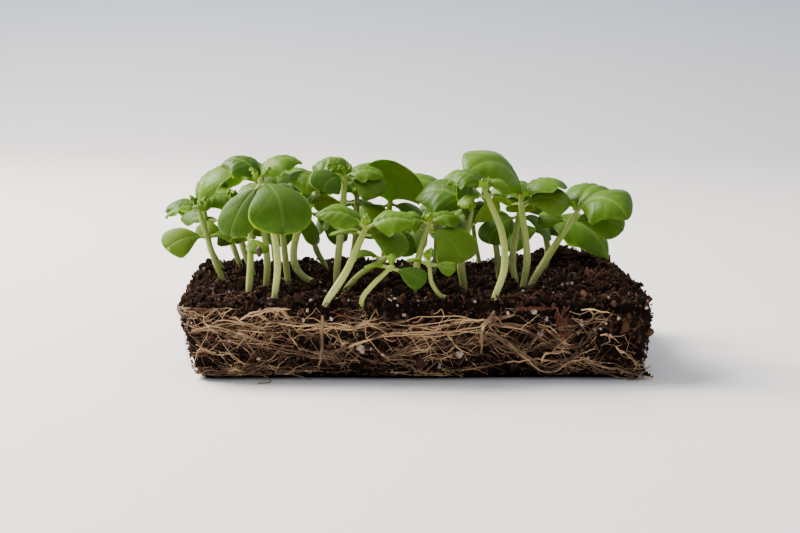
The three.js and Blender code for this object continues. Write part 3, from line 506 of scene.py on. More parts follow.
def make_mesh(name, points_mm, faces, material):
    """A smooth mesh object at the origin from points in millimetres."""
    mesh = bpy.data.meshes.new(name)
    mesh.from_pydata((np.asarray(points_mm) * MM).tolist(), [], [list(face) for face in faces])
    mesh.polygons.foreach_set("use_smooth", [True] * len(mesh.polygons))
    mesh.update()
    if material:
        mesh.materials.append(material)
    piece = bpy.data.objects.new(name, mesh)
    bpy.context.scene.collection.objects.link(piece)
    return piece


def add_values(piece, name, values):
    """Stores one number for each point of a mesh."""
    attribute = piece.data.attributes.new(name, "FLOAT", "POINT")
    attribute.data.foreach_set("value", np.asarray(values, np.float32))


def fill_inputs(node, links):
    """Fills a node's inputs, by name or number, from values, sockets or the first outputs of other nodes."""
    for key, value in links.items():
        if isinstance(value, bpy.types.Node):
            value = value.outputs[0]
        if isinstance(value, bpy.types.NodeSocket):
            node.id_data.links.new(value, node.inputs[key])
        else:
            node.inputs[key].default_value = value


def add_node(tree, kind, links=None, stops=(), **settings):
    """Adds a node with its settings, its links and, on a colour ramp, its stops, each (place, colour)."""
    node = tree.nodes.new(kind)
    for key, value in settings.items():
        setattr(node, key, value)
    fill_inputs(node, links or {})
    for k, (place, colour) in enumerate(stops):
        elements = node.color_ramp.elements
        stop = elements[k] if k < 2 else elements.new(place)
        stop.position = place
        stop.color = colour
    return node


def rgba(colour, brightness=1):
    """A colour for a node, dimmed or lifted by a factor."""
    return (*[brightness * c for c in colour], 1)


def new_material(name):
    """A material with its node tree, its principled surface and the place on the object."""
    material = bpy.data.materials.new(name)
    material.use_nodes = True
    tree = material.node_tree
    place = add_node(tree, "ShaderNodeTexCoord").outputs["Object"]
    return material, tree, tree.nodes["Principled BSDF"], place


def new_geometry_tree(name, inputs):
    """A geometry tree with the named inputs, each (socket type, default), and its inputs' sockets."""
    tree = bpy.data.node_groups.new(name, "GeometryNodeTree")
    tree.interface.new_socket("Geometry", in_out="INPUT", socket_type="NodeSocketGeometry")
    for key, (socket_type, default) in inputs.items():
        socket = tree.interface.new_socket(key, in_out="INPUT", socket_type=socket_type)
        if default is not None:
            socket.default_value = default
    tree.interface.new_socket("Geometry", in_out="OUTPUT", socket_type="NodeSocketGeometry")
    return tree, tree.nodes.new("NodeGroupInput").outputs


def end_geometry_tree(tree, geometry, material):
    """Makes the tree's result real and gives it its material."""
    real = add_node(tree, "GeometryNodeRealizeInstances", {"Geometry": geometry})
    dressed = add_node(tree, "GeometryNodeSetMaterial", {"Geometry": real, "Material": material})
    add_node(tree, "NodeGroupOutput", {"Geometry": dressed})


def run_tree(name, tree, source, values):
    """The plain mesh that a geometry tree makes of an object, whose own mesh is then gone."""
    modifier = source.modifiers.new("nodes", "NODES")
    modifier.node_group = tree
    for item in tree.interface.items_tree:
        if item.item_type == "SOCKET" and item.in_out == "INPUT" and item.name in values:
            modifier[item.identifier] = values[item.name]
    source.update_tag()
    bpy.context.view_layer.update()
    evaluated = source.evaluated_get(bpy.context.evaluated_depsgraph_get())
    mesh = bpy.data.meshes.new_from_object(evaluated)
    mesh.name = name
    source.modifiers.remove(modifier)
    piece = bpy.data.objects.new(name, mesh)
    bpy.context.scene.collection.objects.link(piece)
    bpy.data.objects.remove(source)
    if not len(mesh.polygons):
        raise RuntimeError(f"the node tree made nothing for {name}")
    return piece


def finish_piece(piece, slot_name, *replaced):
    """The piece moves with the block and stands for the solids named, which are hidden. Its slot name is not
    used.
    """
    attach(piece, BODY)
    if replaced:
        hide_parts(*replaced)


def tube_tree():
    """A tree that sweeps round tubes along polylines, with each point's own radius."""
    tree, inputs = new_geometry_tree("tubes_along_lines", {
        "Sides": ("NodeSocketInt", 6),
        "Material": ("NodeSocketMaterial", None),
    })
    curve = add_node(tree, "GeometryNodeMeshToCurve", {"Mesh": inputs["Geometry"]})
    ring = add_node(tree, "GeometryNodeCurvePrimitiveCircle", {"Resolution": inputs["Sides"], "Radius": 1})
    radius = add_node(tree, NAMED, {"Name": "radius"}, data_type="FLOAT")
    tube = add_node(tree, "GeometryNodeCurveToMesh", {
        "Curve": curve, "Profile Curve": ring, "Scale": radius, "Fill Caps": True})
    smooth = add_node(tree, "GeometryNodeSetShadeSmooth", {"Geometry": tube})
    end_geometry_tree(tree, smooth, inputs["Material"])
    return tree


def sweep_tubes(name, lines, sides, material):
    """One mesh of tubes. Each line is (points in mm, radii in mm, shade, heights from 0 to 1)."""
    points = np.concatenate([line[0] for line in lines])
    edges = []
    first = 0
    for line in lines:
        edges += [(first + k, first + k + 1) for k in range(len(line[0]) - 1)]
        first += len(line[0])
    mesh = bpy.data.meshes.new(name + "_lines")
    mesh.from_pydata((points * MM).tolist(), edges, [])
    source = bpy.data.objects.new(name + "_lines", mesh)
    bpy.context.scene.collection.objects.link(source)
    add_values(source, "radius", np.concatenate([line[1] for line in lines]) * MM)
    add_values(source, "shade", np.concatenate([np.full(len(line[0]), line[2]) for line in lines]))
    add_values(source, "height", np.concatenate([line[3] for line in lines]))
    return run_tree(name, tube_tree(), source, {"Sides": sides, "Material": material})


def scatter_tree(name, at_points=False):
    """A tree that strews rough lumps over a surface, each turned, stretched and shaded by chance.

    With at_points a lump lies at each point instead, as wide as its "size".
    """
    tree, inputs = new_geometry_tree(name, {
        "Density": ("NodeSocketFloat", 1000.0),
        "Smallest": ("NodeSocketVector", (0.3, 0.3, 0.3)),
        "Largest": ("NodeSocketVector", (1.0, 1.0, 1.0)),
        "Width": ("NodeSocketFloat", 0.001),
        "Roughness": ("NodeSocketFloat", 0.3),
        "Fineness": ("NodeSocketInt", 1),
        "Seed": ("NodeSocketInt", 1),
        "Material": ("NodeSocketMaterial", None),
    })
    points = inputs["Geometry"]
    size = inputs["Width"]
    if at_points:
        own = add_node(tree, NAMED, {"Name": "size"}, data_type="FLOAT")
        size = add_node(tree, MATH, {0: own, 1: size}, operation="MULTIPLY")
    else:
        wanted = add_node(tree, NAMED, {"Name": "strew"}, data_type="FLOAT")
        density = add_node(tree, MATH, {0: wanted, 1: inputs["Density"]}, operation="MULTIPLY")
        points = add_node(tree, "GeometryNodeDistributePointsOnFaces", {
            "Mesh": points, "Density": density, "Seed": inputs["Seed"]})
    ball = add_node(tree, "GeometryNodeMeshIcoSphere", {"Radius": 0.5, "Subdivisions": inputs["Fineness"]})
    bumps = add_node(tree, NOISE, {"Scale": 2.3, "Detail": 1.0}, noise_dimensions="3D").outputs["Color"]
    centred = add_node(tree, VECTOR_MATH, {0: bumps, 1: (0.5, 0.5, 0.5)}, operation="SUBTRACT")
    pushed = add_node(tree, VECTOR_MATH, {0: centred, "Scale": inputs["Roughness"]}, operation="SCALE")
    lump = add_node(tree, "GeometryNodeSetPosition", {"Geometry": ball, "Offset": pushed})
    turn = add_node(tree, RANDOM, {
        0: (0, 0, 0), 1: (math.tau, math.tau, math.tau), "Seed": 5}, data_type="FLOAT_VECTOR")
    stretch = add_node(tree, RANDOM, {
        0: inputs["Smallest"], 1: inputs["Largest"], "Seed": 9}, data_type="FLOAT_VECTOR")
    width = add_node(tree, VECTOR_MATH, {0: stretch, "Scale": size}, operation="SCALE")
    copies = add_node(tree, "GeometryNodeInstanceOnPoints", {
        "Points": points, "Instance": lump, "Rotation": turn, "Scale": width})
    shade = add_node(tree, RANDOM, {2: 0.0, 3: 1.0, "Seed": 13}, data_type="FLOAT")
    shaded = add_node(tree, "GeometryNodeStoreNamedAttribute", {
        "Geometry": copies, "Name": "shade", "Value": shade.outputs[1]}, data_type="FLOAT", domain="INSTANCE")
    end_geometry_tree(tree, shaded, inputs["Material"])
    return tree


def moist_peat(settings):
    """Moist peat, milled and pressed: near black, with redder drier fibre, and hardly any gloss."""
    material, tree, surface, place = new_material("moist_peat")
    shade = add_node(tree, STORED, attribute_name="shade").outputs["Fac"]
    # Clumps about 3 mm wide, and grains of about 0.5 mm.
    clumps = add_node(tree, NOISE, {"Vector": place, "Scale": 330.0, "Detail": 5.0, "Roughness": 0.65})
    grains = add_node(tree, NOISE, {"Vector": place, "Scale": 1900.0, "Detail": 3.0, "Roughness": 0.7})
    ramp = add_node(tree, RAMP, {"Fac": clumps}, [
        (0.42, rgba(settings.peat, 0.35)), (0.58, rgba(settings.peat)), (0.72, rgba(settings.peat_light))])
    # Few of the loose crumbs are dry ones.
    dryness = add_node(tree, MATH, {0: shade, 1: 1.8}, operation="POWER")
    tint = add_node(tree, MIX, {
        "Factor": dryness, FIRST: ramp, SECOND: rgba(settings.peat_light)}, data_type="RGBA")
    bump = add_node(tree, BUMP, {"Height": grains, "Strength": 0.6, "Distance": 0.4 * MM})
    fill_inputs(surface, {
        "Base Color": tint.outputs[MIXED], "Roughness": 0.9, "Specular IOR Level": 0.06, "Normal": bump})
    return material


def shredded_bark(settings):
    """Shredded bark and coir: reddish brown, fibrous and dry."""
    material, tree, surface, place = new_material("shredded_bark")
    shade = add_node(tree, STORED, attribute_name="shade").outputs["Fac"]
    # Fibre streaks about 0.4 mm wide.
    streaks = add_node(tree, NOISE, {"Vector": place, "Scale": 2400.0, "Detail": 3.0})
    tint = add_node(tree, MIX, {
        "Factor": shade, FIRST: rgba(settings.bark, 0.3), SECOND: rgba(settings.bark)}, data_type="RGBA")
    worn = add_node(tree, MIX, {
        "Factor": streaks, FIRST: tint.outputs[MIXED], SECOND: rgba(settings.peat)}, data_type="RGBA")
    bump = add_node(tree, BUMP, {"Height": streaks, "Strength": 0.5, "Distance": 0.2 * MM})
    fill_inputs(surface, {"Base Color": worn.outputs[MIXED], "Roughness": 0.8, "Normal": bump})
    return material


def expanded_perlite(settings):
    """Perlite, a popped volcanic glass: white and pitted, stained by the peat around it."""
    material, tree, surface, place = new_material("expanded_perlite")
    # Pits about 0.3 mm wide, and stains over about 1 mm.
    pits = add_node(tree, CELLS, {"Vector": place, "Scale": 3200.0})
    stains = add_node(tree, NOISE, {"Vector": place, "Scale": 900.0, "Detail": 2.0})
    ramp = add_node(tree, RAMP, {"Fac": stains}, [
        (0.35, rgba(settings.perlite, 0.35)), (0.6, rgba(settings.perlite))])
    bump = add_node(tree, BUMP, {"Height": pits, "Strength": 0.5, "Distance": 0.2 * MM})
    fill_inputs(surface, {"Base Color": ramp, "Roughness": 0.7, "Normal": bump})
    return material


def living_root(settings):
    """Young living root: cream to tan, stained brown by peat in patches, slightly waxy."""
    material, tree, surface, place = new_material("living_root")
    shade = add_node(tree, STORED, attribute_name="shade").outputs["Fac"]
    # Stains come in patches about 4 mm long.
    stains = add_node(tree, NOISE, {"Vector": place, "Scale": 260.0, "Detail": 3.0})
    clean = add_node(tree, MATH, {0: shade, 1: 0.62, 2: stains}, operation="MULTIPLY_ADD")
    ramp = add_node(tree, RAMP, {"Fac": clean}, [
        (0.6, rgba(settings.root_dark)), (14 / 15, rgba(settings.root, 0.42)), (1.0, rgba(settings.root))])
    fill_inputs(surface, {
        "Base Color": ramp, "Roughness": 0.55, "Subsurface Weight": 0.15,
        "Subsurface Radius": (1.0, 0.6, 0.3), "Subsurface Scale": 0.4 * MM})
    return material


def basil_stem(settings):
    """Basil stem: juicy and slightly see-through, pale at the soil, with small dark green flecks."""
    material, tree, surface, place = new_material("basil_stem")
    height = add_node(tree, STORED, attribute_name="height").outputs["Fac"]
    shade = add_node(tree, STORED, attribute_name="shade").outputs["Fac"]
    ramp = add_node(tree, RAMP, {"Fac": height}, [
        (0.0, rgba(settings.stem_foot)), (0.6, rgba(settings.stem)), (1.0, rgba(settings.stem_tip))])
    varied = add_node(tree, MIX, {
        "Factor": shade, FIRST: ramp, SECOND: rgba(settings.stem, 0.72)}, data_type="RGBA")
    # Flecks about 0.3 mm wide and 1.5 mm apart.
    flecks = add_node(tree, CELLS, {"Vector": place, "Scale": 700.0})
    is_fleck = add_node(tree, MATH, {0: flecks, 1: 0.12}, operation="LESS_THAN")
    flecked = add_node(tree, MIX, {
        "Factor": is_fleck, FIRST: varied.outputs[MIXED], SECOND: rgba(settings.leaf_deep)}, data_type="RGBA")
    fill_inputs(surface, {
        "Base Color": flecked.outputs[MIXED], "Roughness": 0.42, "Subsurface Weight": 0.35,
        "Subsurface Radius": (0.7, 1.0, 0.25), "Subsurface Scale": 1.2 * MM})
    return material


# How each kind of leaf is built: its points along and across, its pairs of side veins and how far they sweep,
# how deep its teeth are, how much its veins show, and how rough it is.
BLADES = {
    "seed": {"rows": 24, "columns": 17, "vein_pairs": 3, "vein_sweep": 0.5, "teeth": 0,
             "vein_strength": 0.12, "roughness": 0.5},
    "true": {"rows": 25, "columns": 17, "vein_pairs": 6, "vein_sweep": 0.3, "teeth": 0.02,
             "vein_strength": 0.24, "roughness": 0.4},
}


def basil_leaf(name, settings, upper, under, blade):
    """Basil leaf: waxy above, duller and paler below, light passing through, veins paler than the blade. The
    underside colour is also lightened as painted light shining through the leaf.
    """
    material, tree, surface, place = new_material(name)
    grid = add_node(tree, "ShaderNodeUVMap", uv_map="blade")
    split = add_node(tree, "ShaderNodeSeparateXYZ", {"Vector": grid})
    below = add_node(tree, STORED, attribute_name="below").outputs["Fac"]
    shade = add_node(tree, STORED, attribute_name="shade").outputs["Fac"]
    signed = add_node(tree, MATH, {0: split.outputs["Y"], 1: 2.0, 2: -1.0}, operation="MULTIPLY_ADD")
    across = add_node(tree, MATH, {0: signed}, operation="ABSOLUTE")
    # Side veins leave the midrib and sweep towards the tip.
    bent = add_node(tree, MATH, {0: across, 1: 1.3}, operation="POWER")
    behind = add_node(tree, MATH, {0: bent, 1: blade["vein_sweep"]}, operation="MULTIPLY")
    swept = add_node(tree, MATH, {0: split.outputs["X"], 1: behind}, operation="SUBTRACT")
    counted = add_node(tree, MATH, {0: swept, 1: blade["vein_pairs"]}, operation="MULTIPLY")
    passed = add_node(tree, MATH, {0: counted}, operation="FRACT")
    centred = add_node(tree, MATH, {0: passed, 1: 0.5}, operation="SUBTRACT")
    offset = add_node(tree, MATH, {0: centred}, operation="ABSOLUTE")
    side_veins = add_node(tree, MAP_RANGE, {0: offset, 1: 0.44, 2: 0.5, 3: 0.0, 4: 1.0})
    fainter = add_node(tree, MATH, {0: side_veins, 1: 0.55}, operation="MULTIPLY")
    midrib = add_node(tree, MAP_RANGE, {0: across, 1: 0.03, 2: 0.09, 3: 1.0, 4: 0.0})
    veins = add_node(tree, MATH, {0: fainter, 1: midrib}, operation="MAXIMUM")
    # Mottling over about 3 mm, on the leaf's own tone.
    mottle = add_node(tree, NOISE, {"Vector": place, "Scale": 300.0, "Detail": 4.0})
    own_tone = add_node(tree, MATH, {0: shade, 1: 1.1, 2: -0.45}, operation="MULTIPLY_ADD")
    tone = add_node(tree, MATH, {0: mottle, 1: 0.7, 2: own_tone}, operation="MULTIPLY_ADD")
    clamped = add_node(tree, MAP_RANGE, {0: tone, 1: 0.0, 2: 1.0, 3: 0.0, 4: 1.0})
    face = add_node(tree, MIX, {
        "Factor": clamped, FIRST: rgba(upper), SECOND: rgba(settings.leaf_deep)}, data_type="RGBA")
    vein_share = add_node(tree, MATH, {0: veins, 1: blade["vein_strength"]}, operation="MULTIPLY")
    veined = add_node(tree, MIX, {
        "Factor": vein_share, FIRST: face.outputs[MIXED], SECOND: rgba(settings.vein)}, data_type="RGBA")
    # The underside takes its own colour: partly paler green, partly painted light shining through.
    under_share = add_node(tree, MATH, {0: below, 1: 0.8}, operation="MULTIPLY")
    both = add_node(tree, MIX, {
        "Factor": under_share, FIRST: veined.outputs[MIXED], SECOND: rgba(under)}, data_type="RGBA")
    # Cells of about 0.4 mm, with the veins sunk between them.
    cells = add_node(tree, CELLS, {"Vector": place, "Scale": 2600.0})
    rounded = add_node(tree, MATH, {0: cells, 1: 0.25}, operation="MULTIPLY")
    sunk = add_node(tree, MATH, {0: veins, 1: 0.7}, operation="MULTIPLY")
    relief = add_node(tree, MATH, {0: rounded, 1: sunk}, operation="SUBTRACT")
    bump = add_node(tree, BUMP, {"Height": relief, "Strength": 0.45, "Distance": 0.2 * MM})
    fill_inputs(surface, {
        "Base Color": both.outputs[MIXED], "Roughness": blade["roughness"], "IOR": 1.4,
        "Specular IOR Level": 0.2, "Subsurface Weight": 0.3, "Subsurface Radius": (0.6, 1.0, 0.12),
        "Subsurface Scale": 1.2 * MM, "Normal": bump})
    return material


def seed_coat(settings):
    """Dry seed coat: dark brown, papery and slightly glossy."""
    material, tree, surface, place = new_material("seed_coat")
    # Wrinkles about 0.3 mm apart.
    wrinkles = add_node(tree, NOISE, {"Vector": place, "Scale": 3000.0, "Detail": 2.0})
    tint = add_node(tree, MIX, {
        "Factor": wrinkles, FIRST: rgba(settings.hull), SECOND: rgba(settings.hull, 1.5)}, data_type="RGBA")
    bump = add_node(tree, BUMP, {"Height": wrinkles, "Strength": 0.6, "Distance": 0.1 * MM})
    fill_inputs(surface, {"Base Color": tint.outputs[MIXED], "Roughness": 0.5, "Normal": bump})
    return material


def painted_floor(settings):
    """Matt painted board: even and pale, with a faint unevenness, and darker and bluer where it rises behind,
    as painted shade for the light that falls off up the backdrop.
    """
    material, tree, surface, place = new_material("painted_floor")
    cloud = add_node(tree, NOISE, {"Vector": place, "Scale": 6.0, "Detail": 2.0})
    tint = add_node(tree, MIX, {
        "Factor": cloud, FIRST: rgba(settings.floor), SECOND: rgba(settings.floor, 0.96)}, data_type="RGBA")
    # Painted shade: the board turns darker and bluer as it rises behind.
    height = add_node(tree, "ShaderNodeSeparateXYZ", {"Vector": place}).outputs["Z"]
    rise = add_node(tree, MAP_RANGE, {0: height, 1: 0.0, 2: 0.14, 3: 0.0, 4: 1.0})
    painted_backdrop_shade = add_node(tree, MIX, {
        "Factor": rise, FIRST: tint.outputs[MIXED], SECOND: rgba(settings.backdrop)}, data_type="RGBA")
    fill_inputs(surface, {"Base Color": painted_backdrop_shade.outputs[MIXED], "Roughness": 0.7})
    return material


# The soil.

SOIL_STEPS = (130, 78, 7)
FOOT_SHARES = (0.3, 0.62, 0.86)
SOIL_WALL_ROWS = 21
SOIL_TOP_ROWS = 40


def soil_rings():
    """Rings of points over the block, from its foot up the walls and in over the top."""
    rings = []
    for share in FOOT_SHARES:
        foot = block_outline(FOOT_INSET, *SOIL_STEPS) * share
        rings.append(np.column_stack([foot, np.zeros(len(foot))]))
    for z in np.linspace(0, WALL_TOP, SOIL_WALL_ROWS):
        outline = block_outline(wall_inset(z), *SOIL_STEPS)
        rings.append(np.column_stack([outline, np.full(len(outline), z)]))
    edge = block_outline(TOP_EDGE_INSET, *SOIL_STEPS)
    edge_height = soil_height(edge[:, 0], edge[:, 1]) - TOP_EDGE_DROP
    for share in (0.35, 0.7):
        outline = block_outline(TOP_EDGE_INSET * share, *SOIL_STEPS)
        rings.append(np.column_stack([outline, WALL_TOP + (edge_height - WALL_TOP) * share]))
    rings.append(np.column_stack([edge, edge_height]))
    for share in np.linspace(0.985, 0.02, SOIL_TOP_ROWS):
        ring = edge * share
        rings.append(np.column_stack([ring, soil_height(ring[:, 0], ring[:, 1])]))
    return rings


def ring_faces(rings):
    """The faces between each ring and the next."""
    count = len(rings[0])
    faces = []
    for k in range(len(rings) - 1):
        for s in range(count):
            t = (s + 1) % count
            faces.append((k * count + s, k * count + t, (k + 1) * count + t, (k + 1) * count + s))
    return faces


def soil_outward(rings):
    """The outward direction at each ring point."""
    grid = np.array(rings)
    round_way = np.roll(grid, -1, axis=1) - np.roll(grid, 1, axis=1)
    up_way = np.gradient(grid, axis=0)
    normals = np.cross(round_way, up_way)
    return normals / np.maximum(np.linalg.norm(normals, axis=2, keepdims=True), 1e-9)


def crumbly(points, lump_height):
    """How far the soil stands out at each point: rounded lumps of about 3 mm with 1 mm crumbs on them."""
    offsets = []
    for x, y, z in points:
        broad = noise.noise((x * 0.16, y * 0.16, z * 0.16 + 7))
        lump = 0.5 - noise.voronoi((x * 0.36, y * 0.36, z * 0.42))[0][0]
        crumb = 0.5 - noise.voronoi((x * 0.95 + 11, y * 0.95, z * 0.95))[0][0]
        offsets.append(lump_height * (0.5 * broad + 0.75 * lump + 0.32 * crumb) - 0.2 * lump_height)
    return np.array(offsets)


def build_soil(settings, material):
    """The crumbly block, as one closed mesh."""
    rings = soil_rings()
    outward = soil_outward(rings)
    count = len(rings[0])
    points = np.concatenate(rings)
    offsets = crumbly(points, settings.lump_height / MM)
    offsets[:(len(FOOT_SHARES) + 1) * count] = 0
    points = points + outward.reshape(-1, 3) * offsets[:, None]
    points[:, 2] = np.maximum(points[:, 2], 0)
    faces = ring_faces(rings)
    faces.append(tuple(range(count - 1, -1, -1)))
    last = (len(rings) - 1) * count
    faces.append(tuple(last + s for s in range(count)))
    piece = make_mesh("soil", points, faces, material)
    add_values(piece, "shade", np.zeros(len(points)))
    return piece


# How far strewn things lie out of the smooth surface, how much further at the front's upper edge, how high
# that edge is, and over what height this fades. Then where the bare right end starts, and over what length.
STREW_LIFT = 0.3
BRINK_LIFT = 0.45
BRINK_HEIGHT = 18.8
BRINK_FADE = 1.6
BARE_END_START = 20
BARE_END_FADE = 35


def strewn_surface(wall_share, bare_end_share, lowest):
    """The soil's smooth surface, holding how thickly things lie at each point.

    They lie fully on the top, by a share on the walls and on the bare right end, and nowhere below the lowest
    height, which keeps them above the table.
    """
    rings = soil_rings()[len(FOOT_SHARES):]
    outward = soil_outward(rings).reshape(-1, 3)
    points = np.concatenate(rings)
    brink = np.exp(-(((points[:, 2] - BRINK_HEIGHT) / BRINK_FADE) ** 2)) * np.clip(-outward[:, 1], 0, 1)
    lift = STREW_LIFT + BRINK_LIFT * brink
    source = make_mesh("strewn_surface", points + outward * lift[:, None], ring_faces(rings), None)
    top = np.clip(outward[:, 2], 0, 1)
    bare_end = bare_end_share * np.clip((points[:, 0] - BARE_END_START) / BARE_END_FADE, 0, 1)
    thickness = wall_share + (1 - wall_share) * np.maximum(top, bare_end)
    add_values(source, "strew", thickness * (points[:, 2] > lowest))
    return source


# The roots, in millimetres.

ROOT_STEP_MM = 1.7
ROOT_TOP = WALL_TOP + 1.9
ROOT_LOW = 0.9
WALL_LEVELS = 14
WALL_STEPS = (200, 120, 8)
# A point faces a wall's way when its outward direction has this much of it.
FACING = 0.7
# How far the strands of a loose bundle lie apart, how much they sway, and how much a root sways that is
# drawn after the photograph, with others or alone. How far out of the wall a root may stand, and the radius
# above which it counts as thick.
BUNDLE_SPREAD = 0.9
BUNDLE_SWAY = 0.42
GUIDED_SWAY = 0.26
LONE_SWAY = 0.1
FARTHEST_OUT = 1.5
THICK_RADIUS = 0.2
# The shares of bundle strands that are thick, and of roots that bear hair roots.
THICK_SHARE = 0.2
HAIRY_SHARE = 0.75

# Where strands run on each wall: from and to along it, lowest and highest, how many, longest, and steepness.
# The front and back walls are measured along X, the side walls along Y.
STRAND_ZONES = {
    "front": [
        (-58, -31, 11.5, 18.8, 40, 28, 0.1),
        (-58, -26, 8.5, 13, 15, 26, 0.12),
        (-57, -30, 4, 9, 8, 18, 0.25),
        (-46, 18, 11.5, 16.5, 24, 32, 0.12),
        (-32, 20, 5, 13, 38, 26, 0.22),
        (-57, 44, 1.6, 4.6, 52, 34, 0.06),
        (-4, 34, 5, 11, 14, 24, 0.3),
        (22, 50, 7, 15, 14, 20, 0.35),
        (36, 60, 1.4, 6, 18, 12, 0.4),
    ],
    "right": [(-34, 34, 1.6, 5, 26, 22, 0.1), (-34, 34, 5, 16.5, 26, 24, 0.2)],
    "back": [
        (-58, 58, 1.6, 5, 46, 34, 0.06),
        (-58, 50, 11, 17.5, 66, 36, 0.06),
        (-50, 56, 5, 12, 46, 28, 0.2),
    ],
    "left": [
        (-34, 34, 1.6, 5, 24, 22, 0.06),
        (-34, 34, 10.5, 18, 38, 26, 0.06),
        (-34, 34, 5, 11, 20, 22, 0.2),
    ],
}

# Roots that stand out on the front wall: points (x, z), how many strands, their spread, and radius.
FRONT_ROOTS = [
    ([(-23.2, 17.4), (-23.5, 13), (-24, 8), (-24.8, 2.6)], 1, 0, 0.52),
    ([(-23.6, 15.5), (-29, 14.6), (-36, 15.5), (-44, 13)], 4, 0.5, 0.2),
    ([(-12.8, 15.6), (-16, 14.2), (-21, 15.4), (-26, 14.4)], 3, 0.5, 0.2),
    ([(-12.8, 15.4), (-15, 13.6), (-15.6, 11.6)], 2, 0.3, 0.2),
    ([(-12.8, 15.4), (-12.6, 13.4), (-11.8, 11.6)], 2, 0.3, 0.16),
    ([(-12.8, 15.4), (-10, 14.6), (-5, 13.4), (2, 14.6)], 3, 0.4, 0.2),
    ([(-12.4, 16), (-17, 18), (-19.4, 19.2)], 2, 0.4, 0.16),
    ([(-17.2, 9.2), (-10, 11.2), (-3, 12), (8, 13), (17, 13.4)], 3, 0.7, 0.2),
    ([(-17.2, 9.2), (-20, 12.2), (-24, 13.2)], 2, 0.4, 0.18),
    ([(-17.2, 9.2), (-22, 7.4), (-28, 7.8)], 2, 0.4, 0.18),
    ([(-17.2, 9.2), (-13, 6), (-6, 4.4)], 2, 0.4, 0.18),
    ([(20, 18.4), (18.6, 16), (17.2, 13.6), (16.8, 7)], 3, 0.35, 0.44),
    ([(18.4, 16), (12, 15.8), (4, 14.6), (-6, 14.8)], 4, 0.9, 0.2),
    ([(18, 14.6), (12, 13.2), (5, 11.6), (-3, 12)], 3, 0.9, 0.18),
    ([(18, 15), (24, 14.2), (30, 12.2), (34, 9.3), (39.5, 8.2), (43.4, 9.8), (46.4, 12.4)], 7, 0.95, 0.18),
    ([(18.6, 16), (22, 16.4), (24.6, 17.4), (25, 18.8), (22.6, 19.2)], 2, 0.25, 0.2),
    ([(17.6, 13.2), (23, 10.6), (29, 6.4), (33, 3.8), (37, 3.2), (41, 6), (46, 4.8), (51, 2)], 5, 0.5, 0.22),
    ([(17, 12.4), (20.6, 10), (24, 8.6), (31, 8.4)], 3, 0.6, 0.18),
    ([(33, 4), (33.2, 6.4), (36.4, 7.4), (41, 6.8)], 2, 0.25, 0.24),
    ([(31, 15), (34, 14), (37, 11.4), (41, 9.6)], 4, 0.6, 0.18),
    ([(41.4, 18.6), (45, 19), (49.6, 17.8)], 1, 0.1, 0.2),
    ([(39.6, 16.6), (43, 15.4), (46, 16.4), (50.2, 15.8)], 3, 0.3, 0.2),
    ([(47, 12.2), (49, 12.4), (49.6, 10.6), (47.4, 9.4)], 1, 0.1, 0.26),
    ([(44, 5.2), (48, 4), (52, 3.2), (57, 1.4)], 6, 0.8, 0.2),
    ([(8, 12.6), (11.4, 8.6), (14.6, 6.8)], 1, 0.1, 0.2),
    ([(-5.4, 14), (-4, 11), (-3, 8.8)], 1, 0.1, 0.18),
    ([(-32, 13.6), (-30, 9.6), (-29, 6.8)], 2, 0.3, 0.24),
    ([(-53, 17.6), (-52.4, 14.6), (-47, 15.8), (-38, 14), (-32, 15.8)], 4, 0.8, 0.22),
    ([(-57, 13), (-50, 14), (-42, 11.2), (-32, 8.4), (-24, 6.4), (-14, 5.2)], 4, 0.9, 0.2),
    ([(-36, 19), (-33, 18.4), (-31.4, 16.8)], 2, 0.2, 0.26),
    ([(-44, 16.4), (-40, 18.2), (-34, 19.2), (-31, 19)], 3, 0.3, 0.2),
    ([(-56, 10.2), (-52, 8), (-45, 7.2)], 3, 0.4, 0.2),
]

# Heaps of shredded bark that show, on the front wall (x, z) and on the top (x, y): middle, reach along and
# across, how many shreds, and which way they lie, in degrees.
FRONT_SHREDS = [
    (28.5, 19.2, 5, 0.5, 24, 2),
    (37, 15.6, 1.5, 2.2, 30, 80),
    (38.4, 12, 2.4, 1.2, 18, 25),
    (-18, 17.2, 2, 0.9, 12, -40),
    (-54, 19, 2.6, 0.5, 12, 8),
]
TOP_SHREDS = [
    (49, -14, 3.4, 1.8, 46, 10),
    (43, -17, 4, 2.4, 26, 0),
    (30, -30, 5, 2, 16, 5),
    (-44, -30, 6, 3, 18, 0),
]
# Large perlite grains that show on the front wall: x, z and width.
FRONT_PERLITE = [
    (-13.8, 8.6, 2.3), (11.4, 7.2, 2.3), (42, 15.4, 1.6), (33.4, 16.4, 1.6), (29.8, 18.2, 1.5),
    (31.8, 12.4, 1.6), (-40, 5.8, 1.3), (-27.2, 18.6, 1.2), (2.4, 4, 1.2), (6.4, 3.8, 1.2), (51.6, 16.6, 1.2),
    (54, 2, 1.5), (-3, 17.6, 0.9), (50, 12, 0.9), (45.4, 13.6, 0.8), (-50, 13, 0.8),
]
# Perlite grains that show on the top: x, y and width.
TOP_PERLITE = [
    (42.7, -14, 1.1), (44.4, -13.4, 0.8), (41.4, -15, 0.7), (45.6, -15.2, 0.8), (43.6, -16.4, 0.8),
    (36, -5.6, 1.3), (41, 4, 1.8), (28.6, -23.6, 1.3), (29.8, -22, 0.8), (39.6, -18, 0.6), (47, -17.4, 0.6),
    (32.4, -27, 0.7), (52, -20, 0.7), (36.4, -24, 0.6), (24, -30, 0.7), (-47, -28, 0.8), (-36, -31, 0.7),
    (4, -31, 0.7),
]
# The loose fibres by chance: how many on the top and on the walls, how far out from the middle of the top
# they and the shreds may lie, and the seed.
TOP_FIBRES = 420
WALL_FIBRES = 330
TOP_REACH_X = 58
FIBRE_REACH_Y = 35
SHRED_REACH_Y = 34.5
FIBRE_SEED = 19
